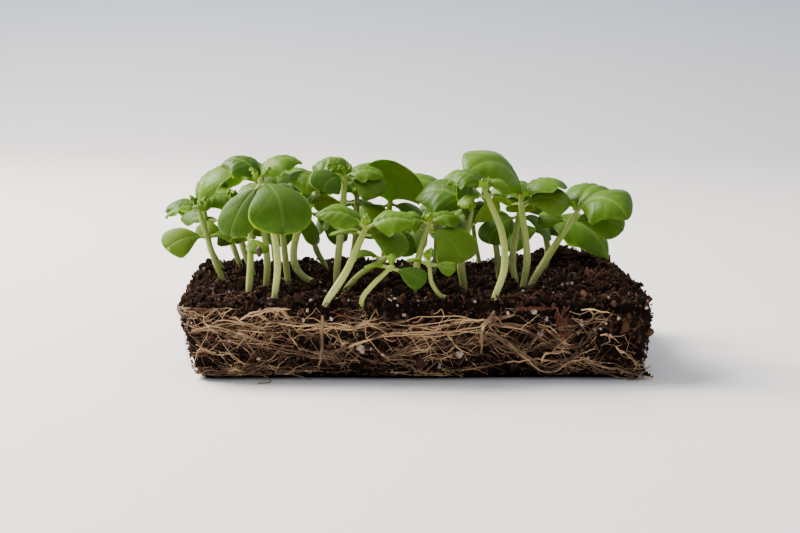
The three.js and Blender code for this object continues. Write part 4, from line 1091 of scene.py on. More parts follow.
# The gap that fibres keep from the top's edge, the shortest and longest, the thinnest and thickest, how much
# they sway and turn, and how much thinner they are at their ends.
FIBRE_EDGE_GAP = 3
FIBRE_LENGTHS = (1.5, 7)
FIBRE_RADII = (0.05, 0.15)
FIBRE_SWAY = 0.25
SHRED_LENGTHS = (1.2, 3.8)
SHRED_RADII = (0.07, 0.2)
SHRED_SWAY = 0.12
SHRED_TURN = 24
BLUNT_ENDS = [0.4, 1, 1, 0.4]

# Roots that hang from the foot, lie on the table or stick out at the right end: points in space, and radius.
HANGING_ROOTS = [
    ([(-44, -30.6, 2.6), (-41, -31.6, 2.8), (-38.6, -33, 1.6), (-36.2, -35.6, 0.35), (-39.4, -37.4, 0.3)],
     0.26),
    ([(-33, -30.8, 1.6), (-29, -32.6, 1), (-25.6, -34.4, 0.4)], 0.18),
    ([(2, -31, 2.6), (8, -32, 2.4), (12.4, -33.6, 1)], 0.24),
    ([(50, -31, 2.4), (54.6, -32.4, 1), (57.4, -33.6, 0.4), (60, -32.8, 0.5)], 0.26),
    ([(52, -30.6, 2), (56.4, -31.2, 1.6), (60, -31.4, 1.8)], 0.3),
    ([(49, -31, 1.4), (53.4, -33.4, 0.4), (57, -35, 0.3)], 0.2),
    ([(50, -31.5, 3), (54, -33.6, 2.2), (58, -34, 1.2), (61, -33.4, 0.6)], 0.3),
    ([(53, -31, 1.6), (57, -32, 1.6), (61.2, -31, 1.8)], 0.24),
    ([(55, -32, 3), (58, -33, 2.8), (60.8, -32, 3.4)], 0.18),
    ([(56, -30, 2), (59, -29, 1.6), (61.4, -28.4, 2.2)], 0.2),
]

# Crumbs that have come loose round the right foot of the front wall: x, y, z and width.
FOOT_CRUMBS = [
    (55.4, -32.4, 1.2, 1.6), (56.8, -33.2, 1.1, 1.4), (57.4, -31.6, 1.4, 1.8), (58.6, -32.4, 1, 1.3),
    (59.6, -31, 1.1, 1.4), (60.3, -32.4, 0.8, 1), (58.2, -29.8, 1.4, 1.8), (59.8, -28.8, 1.1, 1.4),
    (61, -30, 0.7, 0.8), (56.2, -34, 0.6, 0.7), (54.4, -33.6, 0.7, 0.9), (57.6, -30.6, 2.6, 1.5),
    (59, -30.4, 2.2, 1.3), (56, -31.6, 2.4, 1.6), (54, -32, 1.8, 1.8), (61.2, -32, 0.6, 0.6),
]


def wall_frame():
    """Two functions for the walls.

    The first turns distances round the block, heights and lifts into points. The second turns a place along
    one wall into the distance round the block.
    """
    heights = np.linspace(0, WALL_TOP + 2, WALL_LEVELS)
    tables = np.array([block_outline(wall_inset(min(z, WALL_TOP)), *WALL_STEPS) for z in heights])
    base = tables[-1]
    following = np.roll(base, -1, axis=0)
    lengths = np.concatenate([[0], np.cumsum(np.linalg.norm(following - base, axis=1))])
    sideways = following - base
    outward = np.stack([sideways[:, 1], -sideways[:, 0]], -1)
    outward /= np.linalg.norm(outward, axis=1, keepdims=True)

    def place(distances, zs, outs):
        s = np.mod(distances, lengths[-1])
        k = np.clip(np.searchsorted(lengths, s, side="right") - 1, 0, len(base) - 1)
        share = ((s - lengths[k]) / (lengths[k + 1] - lengths[k]))[:, None]
        after = (k + 1) % len(base)
        row = np.clip(zs / heights[-1] * (WALL_LEVELS - 1), 0, WALL_LEVELS - 1.001)
        low = row.astype(int)
        blend = (row - low)[:, None]
        lower = tables[low, k] * (1 - share) + tables[low, after] * share
        upper = tables[low + 1, k] * (1 - share) + tables[low + 1, after] * share
        points = lower * (1 - blend) + upper * blend + outward[k] * outs[:, None]
        return np.column_stack([points, zs])

    def distance(wall, coordinate):
        # The axis along each wall, and the way that it faces on the other axis.
        axis, way = {"front": (0, -1), "back": (0, 1), "right": (1, 1), "left": (1, -1)}[wall]
        near = np.flatnonzero(way * outward[:, 1 - axis] > FACING)
        found = lengths[near[np.argmin(np.abs(base[near, axis] - coordinate))]]
        passed_start = wall == "front" and found < lengths[-1] / 2
        return found + lengths[-1] if passed_start else found

    return place, distance


def wander(draw, count, size):
    """A smooth wandering line of numbers from a few slow waves."""
    t = np.linspace(0, 1, count)
    value = np.zeros(count)
    for waves in (1, 2.1, 3.7, 6.3, 9.1):
        value += draw.normal() * np.sin(2 * np.pi * (waves * t + draw.random())) / waves ** 0.8
    return value * size


def kept_between(heights):
    """Heights folded back where they would leave the wall."""
    span = ROOT_TOP - ROOT_LOW
    return ROOT_LOW + span - np.abs(np.mod(heights - ROOT_LOW, 2 * span) - span)


def strand(draw, guide, spread, radius, out, sway, ends):
    """One root along a guide line of (distance, height): its distances, heights, outs, radii and shade."""
    steps = np.linalg.norm(np.diff(guide, axis=0), axis=1)
    way = np.concatenate([[0], np.cumsum(steps)]) / steps.sum()
    count = max(5, int(steps.sum() * (ends[1] - ends[0]) / ROOT_STEP_MM) + 2)
    t = np.linspace(*ends, count)
    own = np.linspace(0, 1, count)
    apart = spread * draw.normal() * np.sin(np.pi * np.clip(own, 0.12, 0.88))
    distances = np.interp(t, way, guide[:, 0]) + wander(draw, count, sway * 0.6)
    heights = np.interp(t, way, guide[:, 1]) + apart + wander(draw, count, sway)
    heights = kept_between(heights)
    outs = np.clip(out + wander(draw, count, 0.22), 0, FARTHEST_OUT)
    radii = radius * np.interp(own, [0, 0.15, 0.7, 1], [0.7, 1, 0.85, 0.3])
    # A root is darker the deeper it lies in the wall, and lighter or darker at random.
    shade = float(np.clip(0.45 * out + 0.8 * draw.random() ** 1.4 - 0.12, 0, 1))
    return distances, heights, outs, radii, shade


def side_roots(draw, root, number):
    """Thin roots that leave a root at a slant."""
    distances, heights, outs, _, shade = root
    branches = []
    for _ in range(number):
        k = draw.integers(1, len(distances) - 1)
        length = draw.uniform(2.5, 8)
        count = max(4, int(length / ROOT_STEP_MM) + 2)
        t = np.linspace(0, 1, count)
        ahead = 1 if draw.random() < 0.7 else -1
        angle = draw.uniform(0.3, 1.1) * (1 if draw.random() < 0.45 else -1)
        bend = draw.normal() * 1.6
        s = distances[k] + ahead * length * t * math.cos(angle) + wander(draw, count, 0.22)
        z = heights[k] + length * t * math.sin(angle) + bend * t * t + wander(draw, count, 0.22)
        z = kept_between(z)
        out = np.clip(outs[k] + 0.4 * (t - 0.1) * draw.normal(), 0, FARTHEST_OUT)
        radius = draw.uniform(0.06, 0.11) * np.linspace(1, 0.6, count)
        branches.append((s, z, out, radius, min(1, shade + 0.15)))
    return branches


def shreds(draw, along, across, number, lie):
    """The short ragged fibres of one heap: two ways off its middle, lift, radii and the way from 0 to 1."""
    heap = []
    count = 6
    way = np.linspace(0, 1, count)
    for _ in range(number):
        length = draw.uniform(*SHRED_LENGTHS) * (way - 0.5)
        heading = math.radians(lie + SHRED_TURN * draw.normal())
        first = 0.5 * along * draw.normal() + length * math.cos(heading) + wander(draw, count, SHRED_SWAY)
        second = 0.5 * across * draw.normal() + length * math.sin(heading) + wander(draw, count, SHRED_SWAY)
        lift = 0.45 + np.abs(wander(draw, count, 0.3))
        radii = draw.uniform(*SHRED_RADII) * np.interp(way, [0, 0.3, 0.7, 1], BLUNT_ENDS)
        heap.append((first, second, lift, radii, way))
    return heap


def on_top(x, y, reach_y, lift):
    """Points that lie on the top of the block, kept away from its edge."""
    x = np.clip(x, -TOP_REACH_X, TOP_REACH_X)
    y = np.clip(y, -reach_y, reach_y)
    return np.column_stack([x, y, soil_height(x, y) + lift])


def bark_fibres():
    """Loose fibres of bark on the top and the walls, and the heaps of shreds, as lines for tubes."""
    place, distance = wall_frame()
    draw = np.random.default_rng(FIBRE_SEED)
    lines = []
    for n in range(TOP_FIBRES + WALL_FIBRES):
        length = draw.uniform(*FIBRE_LENGTHS)
        count = max(4, int(length / ROOT_STEP_MM) + 3)
        t = np.linspace(-0.5, 0.5, count)
        heading = draw.uniform(0, math.tau)
        first = length * t * math.cos(heading) + wander(draw, count, FIBRE_SWAY)
        second = length * t * math.sin(heading) + wander(draw, count, FIBRE_SWAY)
        lift = 0.35 + np.abs(wander(draw, count, FIBRE_SWAY))
        if n < TOP_FIBRES:
            x = draw.uniform(-1, 1) * (BLOCK_LENGTH / 2 - FIBRE_EDGE_GAP) + first
            y = draw.uniform(-1, 1) * (BLOCK_DEPTH / 2 - FIBRE_EDGE_GAP) + second
            points = on_top(x, y, FIBRE_REACH_Y, lift)
        else:
            z = kept_between(draw.uniform(2, WALL_TOP) + second)
            points = place(draw.uniform(0, 400) + first, z, lift)
        radii = draw.uniform(*FIBRE_RADII) * np.interp(t, [-0.5, -0.2, 0.2, 0.5], BLUNT_ENDS)
        lines.append((points, radii, draw.random(), t + 0.5))
    for along, up, *heap in FRONT_SHREDS:
        for first, second, lift, radii, way in shreds(draw, *heap):
            s = distance("front", along) + first
            lines.append((place(s, kept_between(up + second), lift), radii, draw.uniform(0.6, 1), way))
    for middle_x, middle_y, *heap in TOP_SHREDS:
        for first, second, lift, radii, way in shreds(draw, *heap):
            points = on_top(middle_x + first, middle_y + second, SHRED_REACH_Y, lift)
            lines.append((points, radii, draw.uniform(0.6, 1), way))
    return lines


def wall_roots(settings):
    """Thick, fine and hair roots of all four walls, by size, as lines for tubes."""
    place, distance = wall_frame()
    draw = np.random.default_rng(settings.seed)
    thick = settings.thick / MM / 2
    fine = settings.fine / MM / 2
    roots = {"thick": [], "fine": [], "hair": []}
    for wall, zones in STRAND_ZONES.items():
        for first, last, low, high, number, longest, steepness in zones:
            made = 0
            while made < number:
                # A loose bundle of a few strands that share one way.
                in_bundle = draw.integers(1, 5)
                length = draw.uniform(0.35, 1) * longest
                middle = distance(wall, draw.uniform(first, last))
                height = draw.uniform(low, high)
                s = middle + np.linspace(-0.5, 0.5, 5) * length
                rise = np.linspace(-0.5, 0.5, 5) * length * steepness * draw.normal()
                guide = np.column_stack([s, height + rise + wander(draw, 5, 0.5)])
                for _ in range(in_bundle):
                    is_thick = draw.random() < THICK_SHARE
                    radius = (thick if is_thick else fine) * draw.uniform(0.55, 1.1)
                    ends = (draw.uniform(0, 0.3), draw.uniform(0.7, 1))
                    out = draw.uniform(-0.1, 0.8)
                    root = strand(draw, guide, BUNDLE_SPREAD, radius, out, BUNDLE_SWAY, ends)
                    roots["thick" if is_thick else "fine"].append(root)
                    made += 1
    for points, number, spread, radius in FRONT_ROOTS:
        curve = curve_points(points, 24)
        guide = np.array([(distance("front", x), z) for x, z in curve])
        for k in range(number):
            ends = (draw.uniform(0, 0.05), draw.uniform(0.75, 1) if k else 1)
            size = radius * (1 if k == 0 else draw.uniform(0.5, 0.9))
            sway = LONE_SWAY if number == 1 else GUIDED_SWAY
            root = strand(draw, guide, spread, size, draw.uniform(0.5, 1.1), sway, ends)
            roots["thick" if size > THICK_RADIUS else "fine"].append(root)
    for root in roots["thick"] + roots["fine"]:
        if draw.random() < HAIRY_SHARE:
            roots["hair"] += side_roots(draw, root, draw.integers(1, 4))
    lines = {size: [] for size in roots}
    for size, group in roots.items():
        for s, z, out, radii, shade in group:
            lines[size].append((place(s, z, out), radii, shade, np.linspace(0, 1, len(s))))
    for points, radius in HANGING_ROOTS:
        path = curve_points(points, 14)
        way = np.linspace(0, 1, len(path))
        lines["thick"].append((path, radius * (1 - 0.5 * way), 0.6, way))
    return lines


# The plants.

def leaf_shade(owner, index):
    """A repeatable number from 0 to 1 for a leaf's own tone."""
    return (math.sin(12.9898 * (owner + 1) + 78.233 * (index + 1)) * 43758.5453) % 1


def blade_relief(kind, blade, share, across, half_width, phase):
    """How the blade swells between its veins, sinks at the midrib and waves at its margin."""
    swept = (share - blade["vein_sweep"] * np.abs(across) ** 1.3) * blade["vein_pairs"]
    offset = np.abs(swept - np.floor(swept) - 0.5) * 2
    fade = np.sin(np.pi * np.clip(share, 0, 1)) ** 0.5 * (1 - np.abs(across) ** 4)
    swell = (1 - offset ** 2) * fade * np.minimum(1, np.abs(across) * 5)
    rib = np.exp(-((across * half_width) / 0.55) ** 2) * (1 - share)
    wave = np.sin(2 * np.pi * (2.2 * share + phase)) * np.abs(across) ** 3 * np.sign(across + 1e-9)
    if kind == "seed":
        return 0.05 * swell - 0.14 * rib + 0.22 * wave * share
    return 0.42 * swell - 0.4 * rib + 0.45 * wave


def blade_mesh(leaf, blade, thickness, phase):
    """Points, faces, blade coordinates and the side of each point of one closed blade."""
    rows = blade["rows"]
    columns = blade["columns"]
    share = (1 - np.cos(np.linspace(0, np.pi, rows))) / 2
    share = 0.5 * share + 0.5 * np.linspace(0, 1, rows)
    across = np.sin(np.linspace(-np.pi / 2, np.pi / 2, columns))
    across = 0.45 * across + 0.55 * np.linspace(-1, 1, columns)
    grid_share, grid_across = np.meshgrid(share, across, indexing="ij")
    half = leaf["width"] / 2 * blade_half_width(leaf["kind"], grid_share)
    teeth = 1 + blade["teeth"] * (1 - 2 * np.abs((grid_share * 7) % 1 - 0.5)) * np.abs(grid_across) ** 6
    half = np.maximum(half * teeth, 0.42 * (1 - grid_share) ** 3 + 0.02)
    relief = blade_relief(leaf["kind"], blade, grid_share, grid_across, half, phase)
    edge = 1 - np.abs(grid_across) ** 8
    keel = 0.5 * np.exp(-((grid_across * half) / 0.5) ** 2) * (1 - grid_share) ** 1.5
    upper = leaf_points(leaf, grid_share, grid_across, relief + thickness / 2 * edge, half)
    lower = leaf_points(leaf, grid_share, grid_across, relief - (thickness / 2 + keel) * edge, half)
    points = np.concatenate([upper.reshape(-1, 3), lower.reshape(-1, 3)])
    below = np.concatenate([np.zeros(rows * columns), np.ones(rows * columns)])
    coordinates = np.stack([grid_share.ravel(), (grid_across.ravel() + 1) / 2], -1)
    coordinates = np.concatenate([coordinates, coordinates])
    faces = []
    lower_first = rows * columns
    for i in range(rows - 1):
        for j in range(columns - 1):
            a = i * columns + j
            b = a + 1
            c = a + columns + 1
            d = a + columns
            faces.append((a, d, c, b))
            faces.append((lower_first + a, lower_first + b, lower_first + c, lower_first + d))
    rim = [i * columns for i in range(rows)]
    rim += [(rows - 1) * columns + j for j in range(1, columns)]
    rim += [i * columns + columns - 1 for i in range(rows - 2, -1, -1)]
    rim += [j for j in range(columns - 2, 0, -1)]
    for k, a in enumerate(rim):
        b = rim[(k + 1) % len(rim)]
        faces.append((a, lower_first + a, lower_first + b, b))
    return points, faces, coordinates, below


# How far inside the solid's box the blades begin to be pressed in, in millimetres.
BOX_MARGIN = 1.2


def inside_box(points):
    """Points pressed in smoothly where they come near the sides or the top of the solid's box."""
    low, high = np.array(CAD_BOX) / MM
    beyond = np.maximum(points - (high - BOX_MARGIN), 0)
    points = points - beyond + BOX_MARGIN * (1 - np.exp(-beyond / BOX_MARGIN))
    short = np.maximum((low + BOX_MARGIN) - points, 0)
    return points + short - BOX_MARGIN * (1 - np.exp(-short / BOX_MARGIN))


def build_blades(name, leaves, material, blade, thickness):
    """All blades of one kind in one mesh. leaves is a list of (leaf, shade, phase)."""
    all_points, all_faces, all_coordinates, all_below, all_shades = [], [], [], [], []
    first = 0
    for leaf, shade, phase in leaves:
        points, faces, coordinates, below = blade_mesh(leaf, blade, thickness, phase)
        all_points.append(points)
        all_faces += [tuple(first + k for k in face) for face in faces]
        all_coordinates.append(coordinates)
        all_below.append(below)
        all_shades.append(np.full(len(points), shade))
        first += len(points)
    piece = make_mesh(name, inside_box(np.concatenate(all_points)), all_faces, material)
    add_values(piece, "below", np.concatenate(all_below))
    add_values(piece, "shade", np.concatenate(all_shades))
    coordinates = np.concatenate(all_coordinates)
    corner_points = np.empty(len(piece.data.loops), dtype=np.int32)
    piece.data.loops.foreach_get("vertex_index", corner_points)
    layer = piece.data.uv_layers.new(name="blade")
    layer.data.foreach_set("uv", coordinates[corner_points].astype(np.float32).ravel())
    return piece


# How deep a leaf stalk's middle lies under the blade's middle sheet, and its radius.
STALK_DEPTH = 0.15
STALK_RADIUS = {"seed": 0.5, "true": 0.45, "young": 0.45}


def stalk_lines(settled):
    """The stalk of every leaf and the young shoot of every seedling, as lines for tubes."""
    lines = []
    for entry in settled:
        leaf = entry["leaf"]
        share = np.linspace(-1, 0.12, 7)
        points = leaf_points(leaf, share, np.zeros(7), -STALK_DEPTH)
        radii = STALK_RADIUS[leaf["kind"]] * np.linspace(1.15, 0.75, 7)
        lines.append((points, radii, leaf_shade(entry["owner"], 3), np.full(7, 0.9)))
    for owner, seedling in enumerate(SEEDLINGS):
        crown, tip = crown_and_tip(seedling)
        _, along = stem_top(seedling)
        share = np.linspace(0, 1, 6)[:, None]
        points = (crown - along * 0.6) + (tip + along * 0.5 - crown + along * 0.6) * share
        lines.append((points, np.linspace(0.85, 0.6, 6), leaf_shade(owner, 4), np.full(6, 0.95)))
    return lines


# The seed coat's half sizes in millimetres, and the seedling whose last leaf wears it.
HULL_SIZE = (0.8, 0.7, 1.35)
HULL_SEEDLING = 7


def bud_leaves(seedling, owner):
    """The pair of tiny folded leaves at the end of a young shoot."""
    _, tip = crown_and_tip(seedling)
    trues = [row for row in seedling[3] if row[0] != "seed"]
    turn = (trues[0][1] if trues else seedling[3][0][1]) + 90
    buds = []
    for side in (0, 180):
        row = ("young", turn + side, 62, 3.2, 2.4, 40, 0)
        buds.append((make_leaf(row, tip, tip), 0.15, leaf_shade(owner, 9)))
    return buds


def build_hull(leaf, material):
    """The empty seed coat that still sits on the tip of a seed leaf."""
    middle = leaf_points(leaf, 0.97, 0.0)
    rows, columns = 13, 18
    points = []
    faces = []
    for i in range(1, rows):
        latitude = math.pi * i / rows
        for j in range(columns):
            turn = math.tau * j / columns
            shell = 1 + 0.1 * noise.noise((2 * math.sin(turn), 2 * math.cos(turn), 3 * latitude))
            points.append(middle + shell * np.array([
                HULL_SIZE[0] * math.sin(latitude) * math.cos(turn),
                HULL_SIZE[1] * math.sin(latitude) * math.sin(turn),
                HULL_SIZE[2] * math.cos(latitude)]))
    points += [middle + np.array([0, 0, HULL_SIZE[2]]), middle - np.array([0, 0, HULL_SIZE[2]])]
    top = (rows - 1) * columns
    for j in range(columns):
        following = (j + 1) % columns
        faces.append((top, j, following))
        faces.append((top + 1, top - columns + following, top - columns + j))
        for i in range(rows - 2):
            a = i * columns
            faces.append((a + j, a + columns + j, a + columns + following, a + following))
    return make_mesh("seed_hull", points, faces, material)


# Operators.

class MICROGREENS_OT_soil(bpy.types.Operator):
    """Build the crumbly soil block"""
    bl_idname = "microgreens.soil"
    bl_label = "Soil block"

    def execute(self, context):
        soil = context.scene.mg_soil
        finish_piece(build_soil(soil, moist_peat(soil)), "soil", "soil_block")
        return {"FINISHED"}


# What is strewn over the soil: piece; its share on the walls, its share on the bare right end and its lowest
# place; material; how thickly it lies and how wide it is, as shares of the middling crumbs; its smallest and
# largest shapes; how rough it is, how finely meshed, and its seed.
HEAPS = [
    ("soil_grains", (1, 0, 1.6), "peat", 3.4, 0.5, (0.4, 0.35, 0.3), (1.5, 1.2, 1.1), 0.6, 1, 5),
    ("soil_crumbs", (0.6, 1, 1.4), "peat", 1, 1, (0.45, 0.4, 0.35), (1.3, 1.2, 1.0), 0.6, 2, 3),
    ("soil_lumps", (0.25, 0, 3.2), "peat", 0.09, 2.2, (0.7, 0.6, 0.5), (1.3, 1.1, 0.9), 0.6, 3, 8),
    ("bark_chips", (1, 0, 2.8), "bark", 0.24, 1, (0.5, 0.2, 0.12), (2.2, 0.7, 0.3), 0.3, 1, 21),
    ("bark_pieces", (0.25, 0, 3.2), "bark", 0.026, 2.6, (0.7, 0.3, 0.15), (1.4, 0.6, 0.3), 0.35, 2, 27),
    ("perlite_grains", (1, 0, 1.6), "perlite", 0.065, 1, (0.2, 0.2, 0.2), (0.95, 0.85, 0.8), 0.5, 2, 34),
]
# How far the large perlite grains' middles stand out of the wall and over the top.
PERLITE_WALL_LIFT = 0.5
PERLITE_TOP_LIFT = 0.6


class MICROGREENS_OT_crumbs(bpy.types.Operator):
    """Strew crumbs, bark chips and perlite over the soil"""
    bl_idname = "microgreens.crumbs"
    bl_label = "Crumbs, bark and perlite"

    def execute(self, context):
        soil = context.scene.mg_soil
        over_surface = scatter_tree("lumps_on_soil")
        materials = {
            "peat": bpy.data.materials["moist_peat"],
            "bark": shredded_bark(soil),
            "perlite": expanded_perlite(soil),
        }
        for name, spread, material, density, width, smallest, largest, rough, fineness, seed in HEAPS:
            piece = run_tree(name, over_surface, strewn_surface(*spread), {
                "Density": soil.crumb_density * density, "Width": soil.crumb_size * width,
                "Smallest": smallest, "Largest": largest, "Roughness": rough, "Fineness": fineness,
                "Seed": seed, "Material": materials[material]})
            finish_piece(piece, "soil")
        piece = sweep_tubes("bark_fibres", bark_fibres(), 5, materials["bark"])
        finish_piece(piece, "soil")
        place, distance = wall_frame()
        x, z, width = np.array(FRONT_PERLITE).T
        along = np.array([distance("front", middle) for middle in x])
        on_front = place(along, z, np.full(len(x), PERLITE_WALL_LIFT))
        top_x, top_y, top_width = np.array(TOP_PERLITE).T
        over_top = np.column_stack([top_x, top_y, soil_height(top_x, top_y) + PERLITE_TOP_LIFT])
        at_points = scatter_tree("lumps_at_points", True)
        self.place_lumps("perlite_stones", at_points, np.concatenate([on_front, over_top]),
                         np.concatenate([width, top_width]), {
                             "Smallest": (0.7, 0.55, 0.5), "Largest": (1.2, 1, 0.8), "Roughness": 0.85,
                             "Material": materials["perlite"]})
        rows = np.array(FOOT_CRUMBS)
        self.place_lumps("foot_crumbs", at_points, rows[:, :3], rows[:, 3], {
            "Smallest": (0.7, 0.6, 0.5), "Largest": (1.2, 1, 0.85), "Roughness": 0.7, "Seed": 4,
            "Material": materials["peat"]})
        return {"FINISHED"}

    def place_lumps(self, name, tree, points, widths, values):
        """One lump at each point, with its own width in millimetres."""
        source = make_mesh(name + "_places", points, [], None)
        add_values(source, "size", widths)
        piece = run_tree(name, tree, source, {"Width": MM, "Fineness": 3, **values})
        finish_piece(piece, "soil")


class MICROGREENS_OT_roots(bpy.types.Operator):
    """Lay the roots over the walls of the block"""
    bl_idname = "microgreens.roots"
    bl_label = "Roots"

    def execute(self, context):
        roots = context.scene.mg_roots
        material = living_root(roots)
        lines = wall_roots(roots)
        for size, sides in {"thick": 7, "fine": 5, "hair": 4}.items():
            piece = sweep_tubes(f"{size}_roots", lines[size], sides, material)
            finish_piece(piece, "roots", "root_mat")
        return {"FINISHED"}


# How thick a stem is from under the soil, at -0.2, to its crown, at 1, as a share of its radius.
STEM_RISES = [-0.2, -0.03, 0.07, 0.3, 1]
STEM_SHARES = [0.25, 0.68, 0.9, 1, STEM_TAPER]
STEM_RADIUS = 0.46


class MICROGREENS_OT_stems(bpy.types.Operator):
    """Grow the stems"""
    bl_idname = "microgreens.stems"
    bl_label = "Stems"

    def execute(self, context):
        lines = []
        for owner, seedling in enumerate(SEEDLINGS):
            crown, _ = crown_and_tip(seedling)
            path = np.concatenate([stem_path(seedling, 44), [crown]])
            ground = soil_height(*seedling[0][0])
            rise = (path[:, 2] - ground) / (crown[2] - ground)
            radii = seedling[1] * STEM_RADIUS * np.interp(rise, STEM_RISES, STEM_SHARES)
            # A slight swelling where the seed leaves sit.
            radii = radii * (1 + 0.14 * np.exp(-((rise - 1) / 0.05) ** 2))
            radii[-1] *= 0.6
            lines.append((path, radii, leaf_shade(owner, 0) * 0.6, np.clip(rise, 0, 1)))
        piece = sweep_tubes("stems", lines, 16, basil_stem(context.scene.mg_plants))
        finish_piece(piece, "stems", *STEM_NODES)
        return {"FINISHED"}


class MICROGREENS_OT_leaves(bpy.types.Operator):
    """Grow the seed leaves, the true leaves, their stalks and buds"""
    bl_idname = "microgreens.leaves"
    bl_label = "Leaves"

    def execute(self, context):
        plants = context.scene.mg_plants
        settled = settle_leaves()
        leaves = {"seed": [], "true": []}
        for index, entry in enumerate(settled):
            leaf = entry["leaf"]
            shade = LEAF_TONES.get(entry["owner"], leaf_shade(entry["owner"], index))
            kind = "seed" if leaf["kind"] == "seed" else "true"
            leaves[kind].append((leaf, shade, leaf_shade(index, 7)))
        for owner, seedling in enumerate(SEEDLINGS):
            leaves["true"] += bud_leaves(seedling, owner)
        for kind, upper, under, thickness in (
                ("seed", plants.seed_leaf, plants.seed_under_glow, plants.seed_thickness),
                ("true", plants.leaf, plants.leaf_under_glow, plants.true_thickness)):
            material = basil_leaf(f"basil_{kind}_leaf", plants, upper, under, BLADES[kind])
            piece = build_blades(f"{kind}_leaves", leaves[kind], material, BLADES[kind], thickness / MM)
            finish_piece(piece, "leaves", *LEAF_NODES)
        piece = sweep_tubes("leaf_stalks", stalk_lines(settled), 8, bpy.data.materials["basil_stem"])
        finish_piece(piece, "stems", *LEAF_NODES)
        wearer = [entry["leaf"] for entry in settled if entry["owner"] == HULL_SEEDLING][-1]
        finish_piece(build_hull(wearer, seed_coat(plants)), "soil")
        return {"FINISHED"}


# The studio, in metres: how far the floor runs forward and to each side, the radius of the hollow where it
# turns up, how far behind the block the wall stands, and how high it is.
FLOOR_REACH = 3
COVE_RADIUS = 0.35
WALL_PLACE = 1.1
WALL_HEIGHT = 2
# Each light: name, place, target, width, and the setting that holds its power.
LIGHTS = [
    ("key_light", (-0.58, 0.24, 0.64), (0, 0, 0.02), 0.55, "key_power"),
    ("top_light", (0.05, 0.1, 1.1), (0, 0, 0), 1.4, "top_power"),
]
LIGHT_COLOUR = "#fffaf2"
SKY_COLOUR = "#d9e3f5"


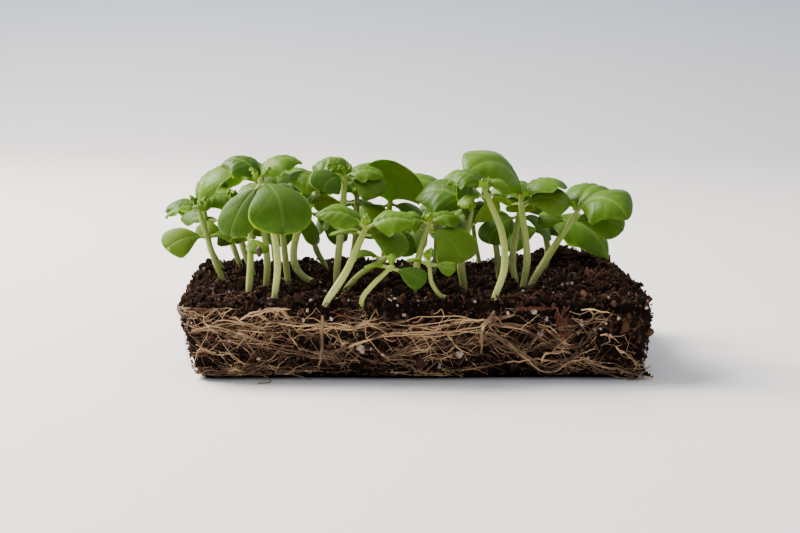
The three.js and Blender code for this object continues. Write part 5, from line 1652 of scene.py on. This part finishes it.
class MICROGREENS_OT_stage(bpy.types.Operator):
    """Set the floor, the lights and the camera"""
    bl_idname = "microgreens.stage"
    bl_label = "Stage"

    def execute(self, context):
        stage = context.scene.mg_stage
        profile = [(-FLOOR_REACH, 0)]
        for angle in np.linspace(0, math.pi / 2, 14):
            y = WALL_PLACE - COVE_RADIUS + COVE_RADIUS * math.sin(angle)
            profile.append((y, COVE_RADIUS - COVE_RADIUS * math.cos(angle)))
        profile.append((WALL_PLACE, WALL_HEIGHT))
        points = [(x / MM, y / MM, z / MM) for y, z in profile for x in (-FLOOR_REACH, FLOOR_REACH)]
        faces = [(2 * k, 2 * k + 1, 2 * k + 3, 2 * k + 2) for k in range(len(profile) - 1)]
        make_mesh("floor", points, faces, painted_floor(stage))
        for name, place, target, size, power in LIGHTS:
            self.add_light(name, Vector(place), Vector(target), size, getattr(stage, power))
        world = bpy.data.worlds.new("even_light")
        world.use_nodes = True
        background = world.node_tree.nodes["Background"]
        fill_inputs(background, {"Color": rgba(linear(SKY_COLOUR)), "Strength": stage.sky})
        context.scene.world = world
        self.add_camera(context)
        return {"FINISHED"}

    def add_light(self, name, place, target, size, power):
        """A soft square light that faces a target."""
        light = bpy.data.lights.new(name, "AREA")
        light.size = size
        light.energy = power
        light.color = linear(LIGHT_COLOUR)
        lamp = bpy.data.objects.new(name, light)
        lamp.location = place
        lamp.rotation_euler = (target - place).to_track_quat("-Z", "Y").to_euler()
        bpy.context.scene.collection.objects.link(lamp)

    def add_camera(self, context):
        """The camera at the photograph's viewing angle."""
        level = Vector((math.cos(CAMERA_TURN), -math.sin(CAMERA_TURN), 0))
        forward = Vector((math.sin(CAMERA_TURN), math.cos(CAMERA_TURN), 0))
        ahead = math.cos(CAMERA_TILT) * forward - math.sin(CAMERA_TILT) * Vector((0, 0, 1))
        upright = level.cross(ahead)
        right = math.cos(CAMERA_ROLL) * level + math.sin(CAMERA_ROLL) * upright
        up = -math.sin(CAMERA_ROLL) * level + math.cos(CAMERA_ROLL) * upright
        data = bpy.data.cameras.new("photo_camera")
        data.lens = CAMERA_LENS_MM
        data.sensor_width = 36
        data.clip_start = 0.01
        camera = bpy.data.objects.new("photo_camera", data)
        turn = Matrix((right, up, -ahead)).transposed()
        camera.matrix_world = Matrix.Translation(CAMERA_PLACE) @ turn.to_4x4()
        context.scene.collection.objects.link(camera)
        context.scene.camera = camera


class MICROGREENS_PT_panel(bpy.types.Panel):
    """The block's parts and settings"""
    bl_idname = "MICROGREENS_PT_panel"
    bl_label = "Microgreens block"
    bl_space_type = "VIEW_3D"
    bl_region_type = "UI"
    bl_category = "Microgreens"

    def draw(self, context):
        for operator in OPERATORS:
            self.layout.operator(operator.bl_idname)
        for group_name in GROUPS:
            group = getattr(context.scene, group_name)
            box = self.layout.box()
            for name in group.__annotations__:
                box.prop(group, name)


OPERATORS = (
    MICROGREENS_OT_stage,
    MICROGREENS_OT_soil,
    MICROGREENS_OT_crumbs,
    MICROGREENS_OT_roots,
    MICROGREENS_OT_stems,
    MICROGREENS_OT_leaves,
)
GROUPS = {
    "mg_soil": SoilSettings,
    "mg_roots": RootSettings,
    "mg_plants": PlantSettings,
    "mg_stage": StageSettings,
}


def register():
    for group in GROUPS.values():
        bpy.utils.register_class(group)
    for name, group in GROUPS.items():
        setattr(bpy.types.Scene, name, bpy.props.PointerProperty(type=group))
    for operator in OPERATORS:
        bpy.utils.register_class(operator)
    bpy.utils.register_class(MICROGREENS_PT_panel)


def unregister():
    bpy.utils.unregister_class(MICROGREENS_PT_panel)
    for operator in reversed(OPERATORS):
        bpy.utils.unregister_class(operator)
    for name in GROUPS:
        delattr(bpy.types.Scene, name)
    for group in GROUPS.values():
        bpy.utils.unregister_class(group)


def main():
    """Builds every piece in order."""
    register()
    bpy.ops.microgreens.stage()
    bpy.ops.microgreens.soil()
    bpy.ops.microgreens.crumbs()
    bpy.ops.microgreens.roots()
    bpy.ops.microgreens.stems()
    bpy.ops.microgreens.leaves()


if __name__ == "__main__":
    main()
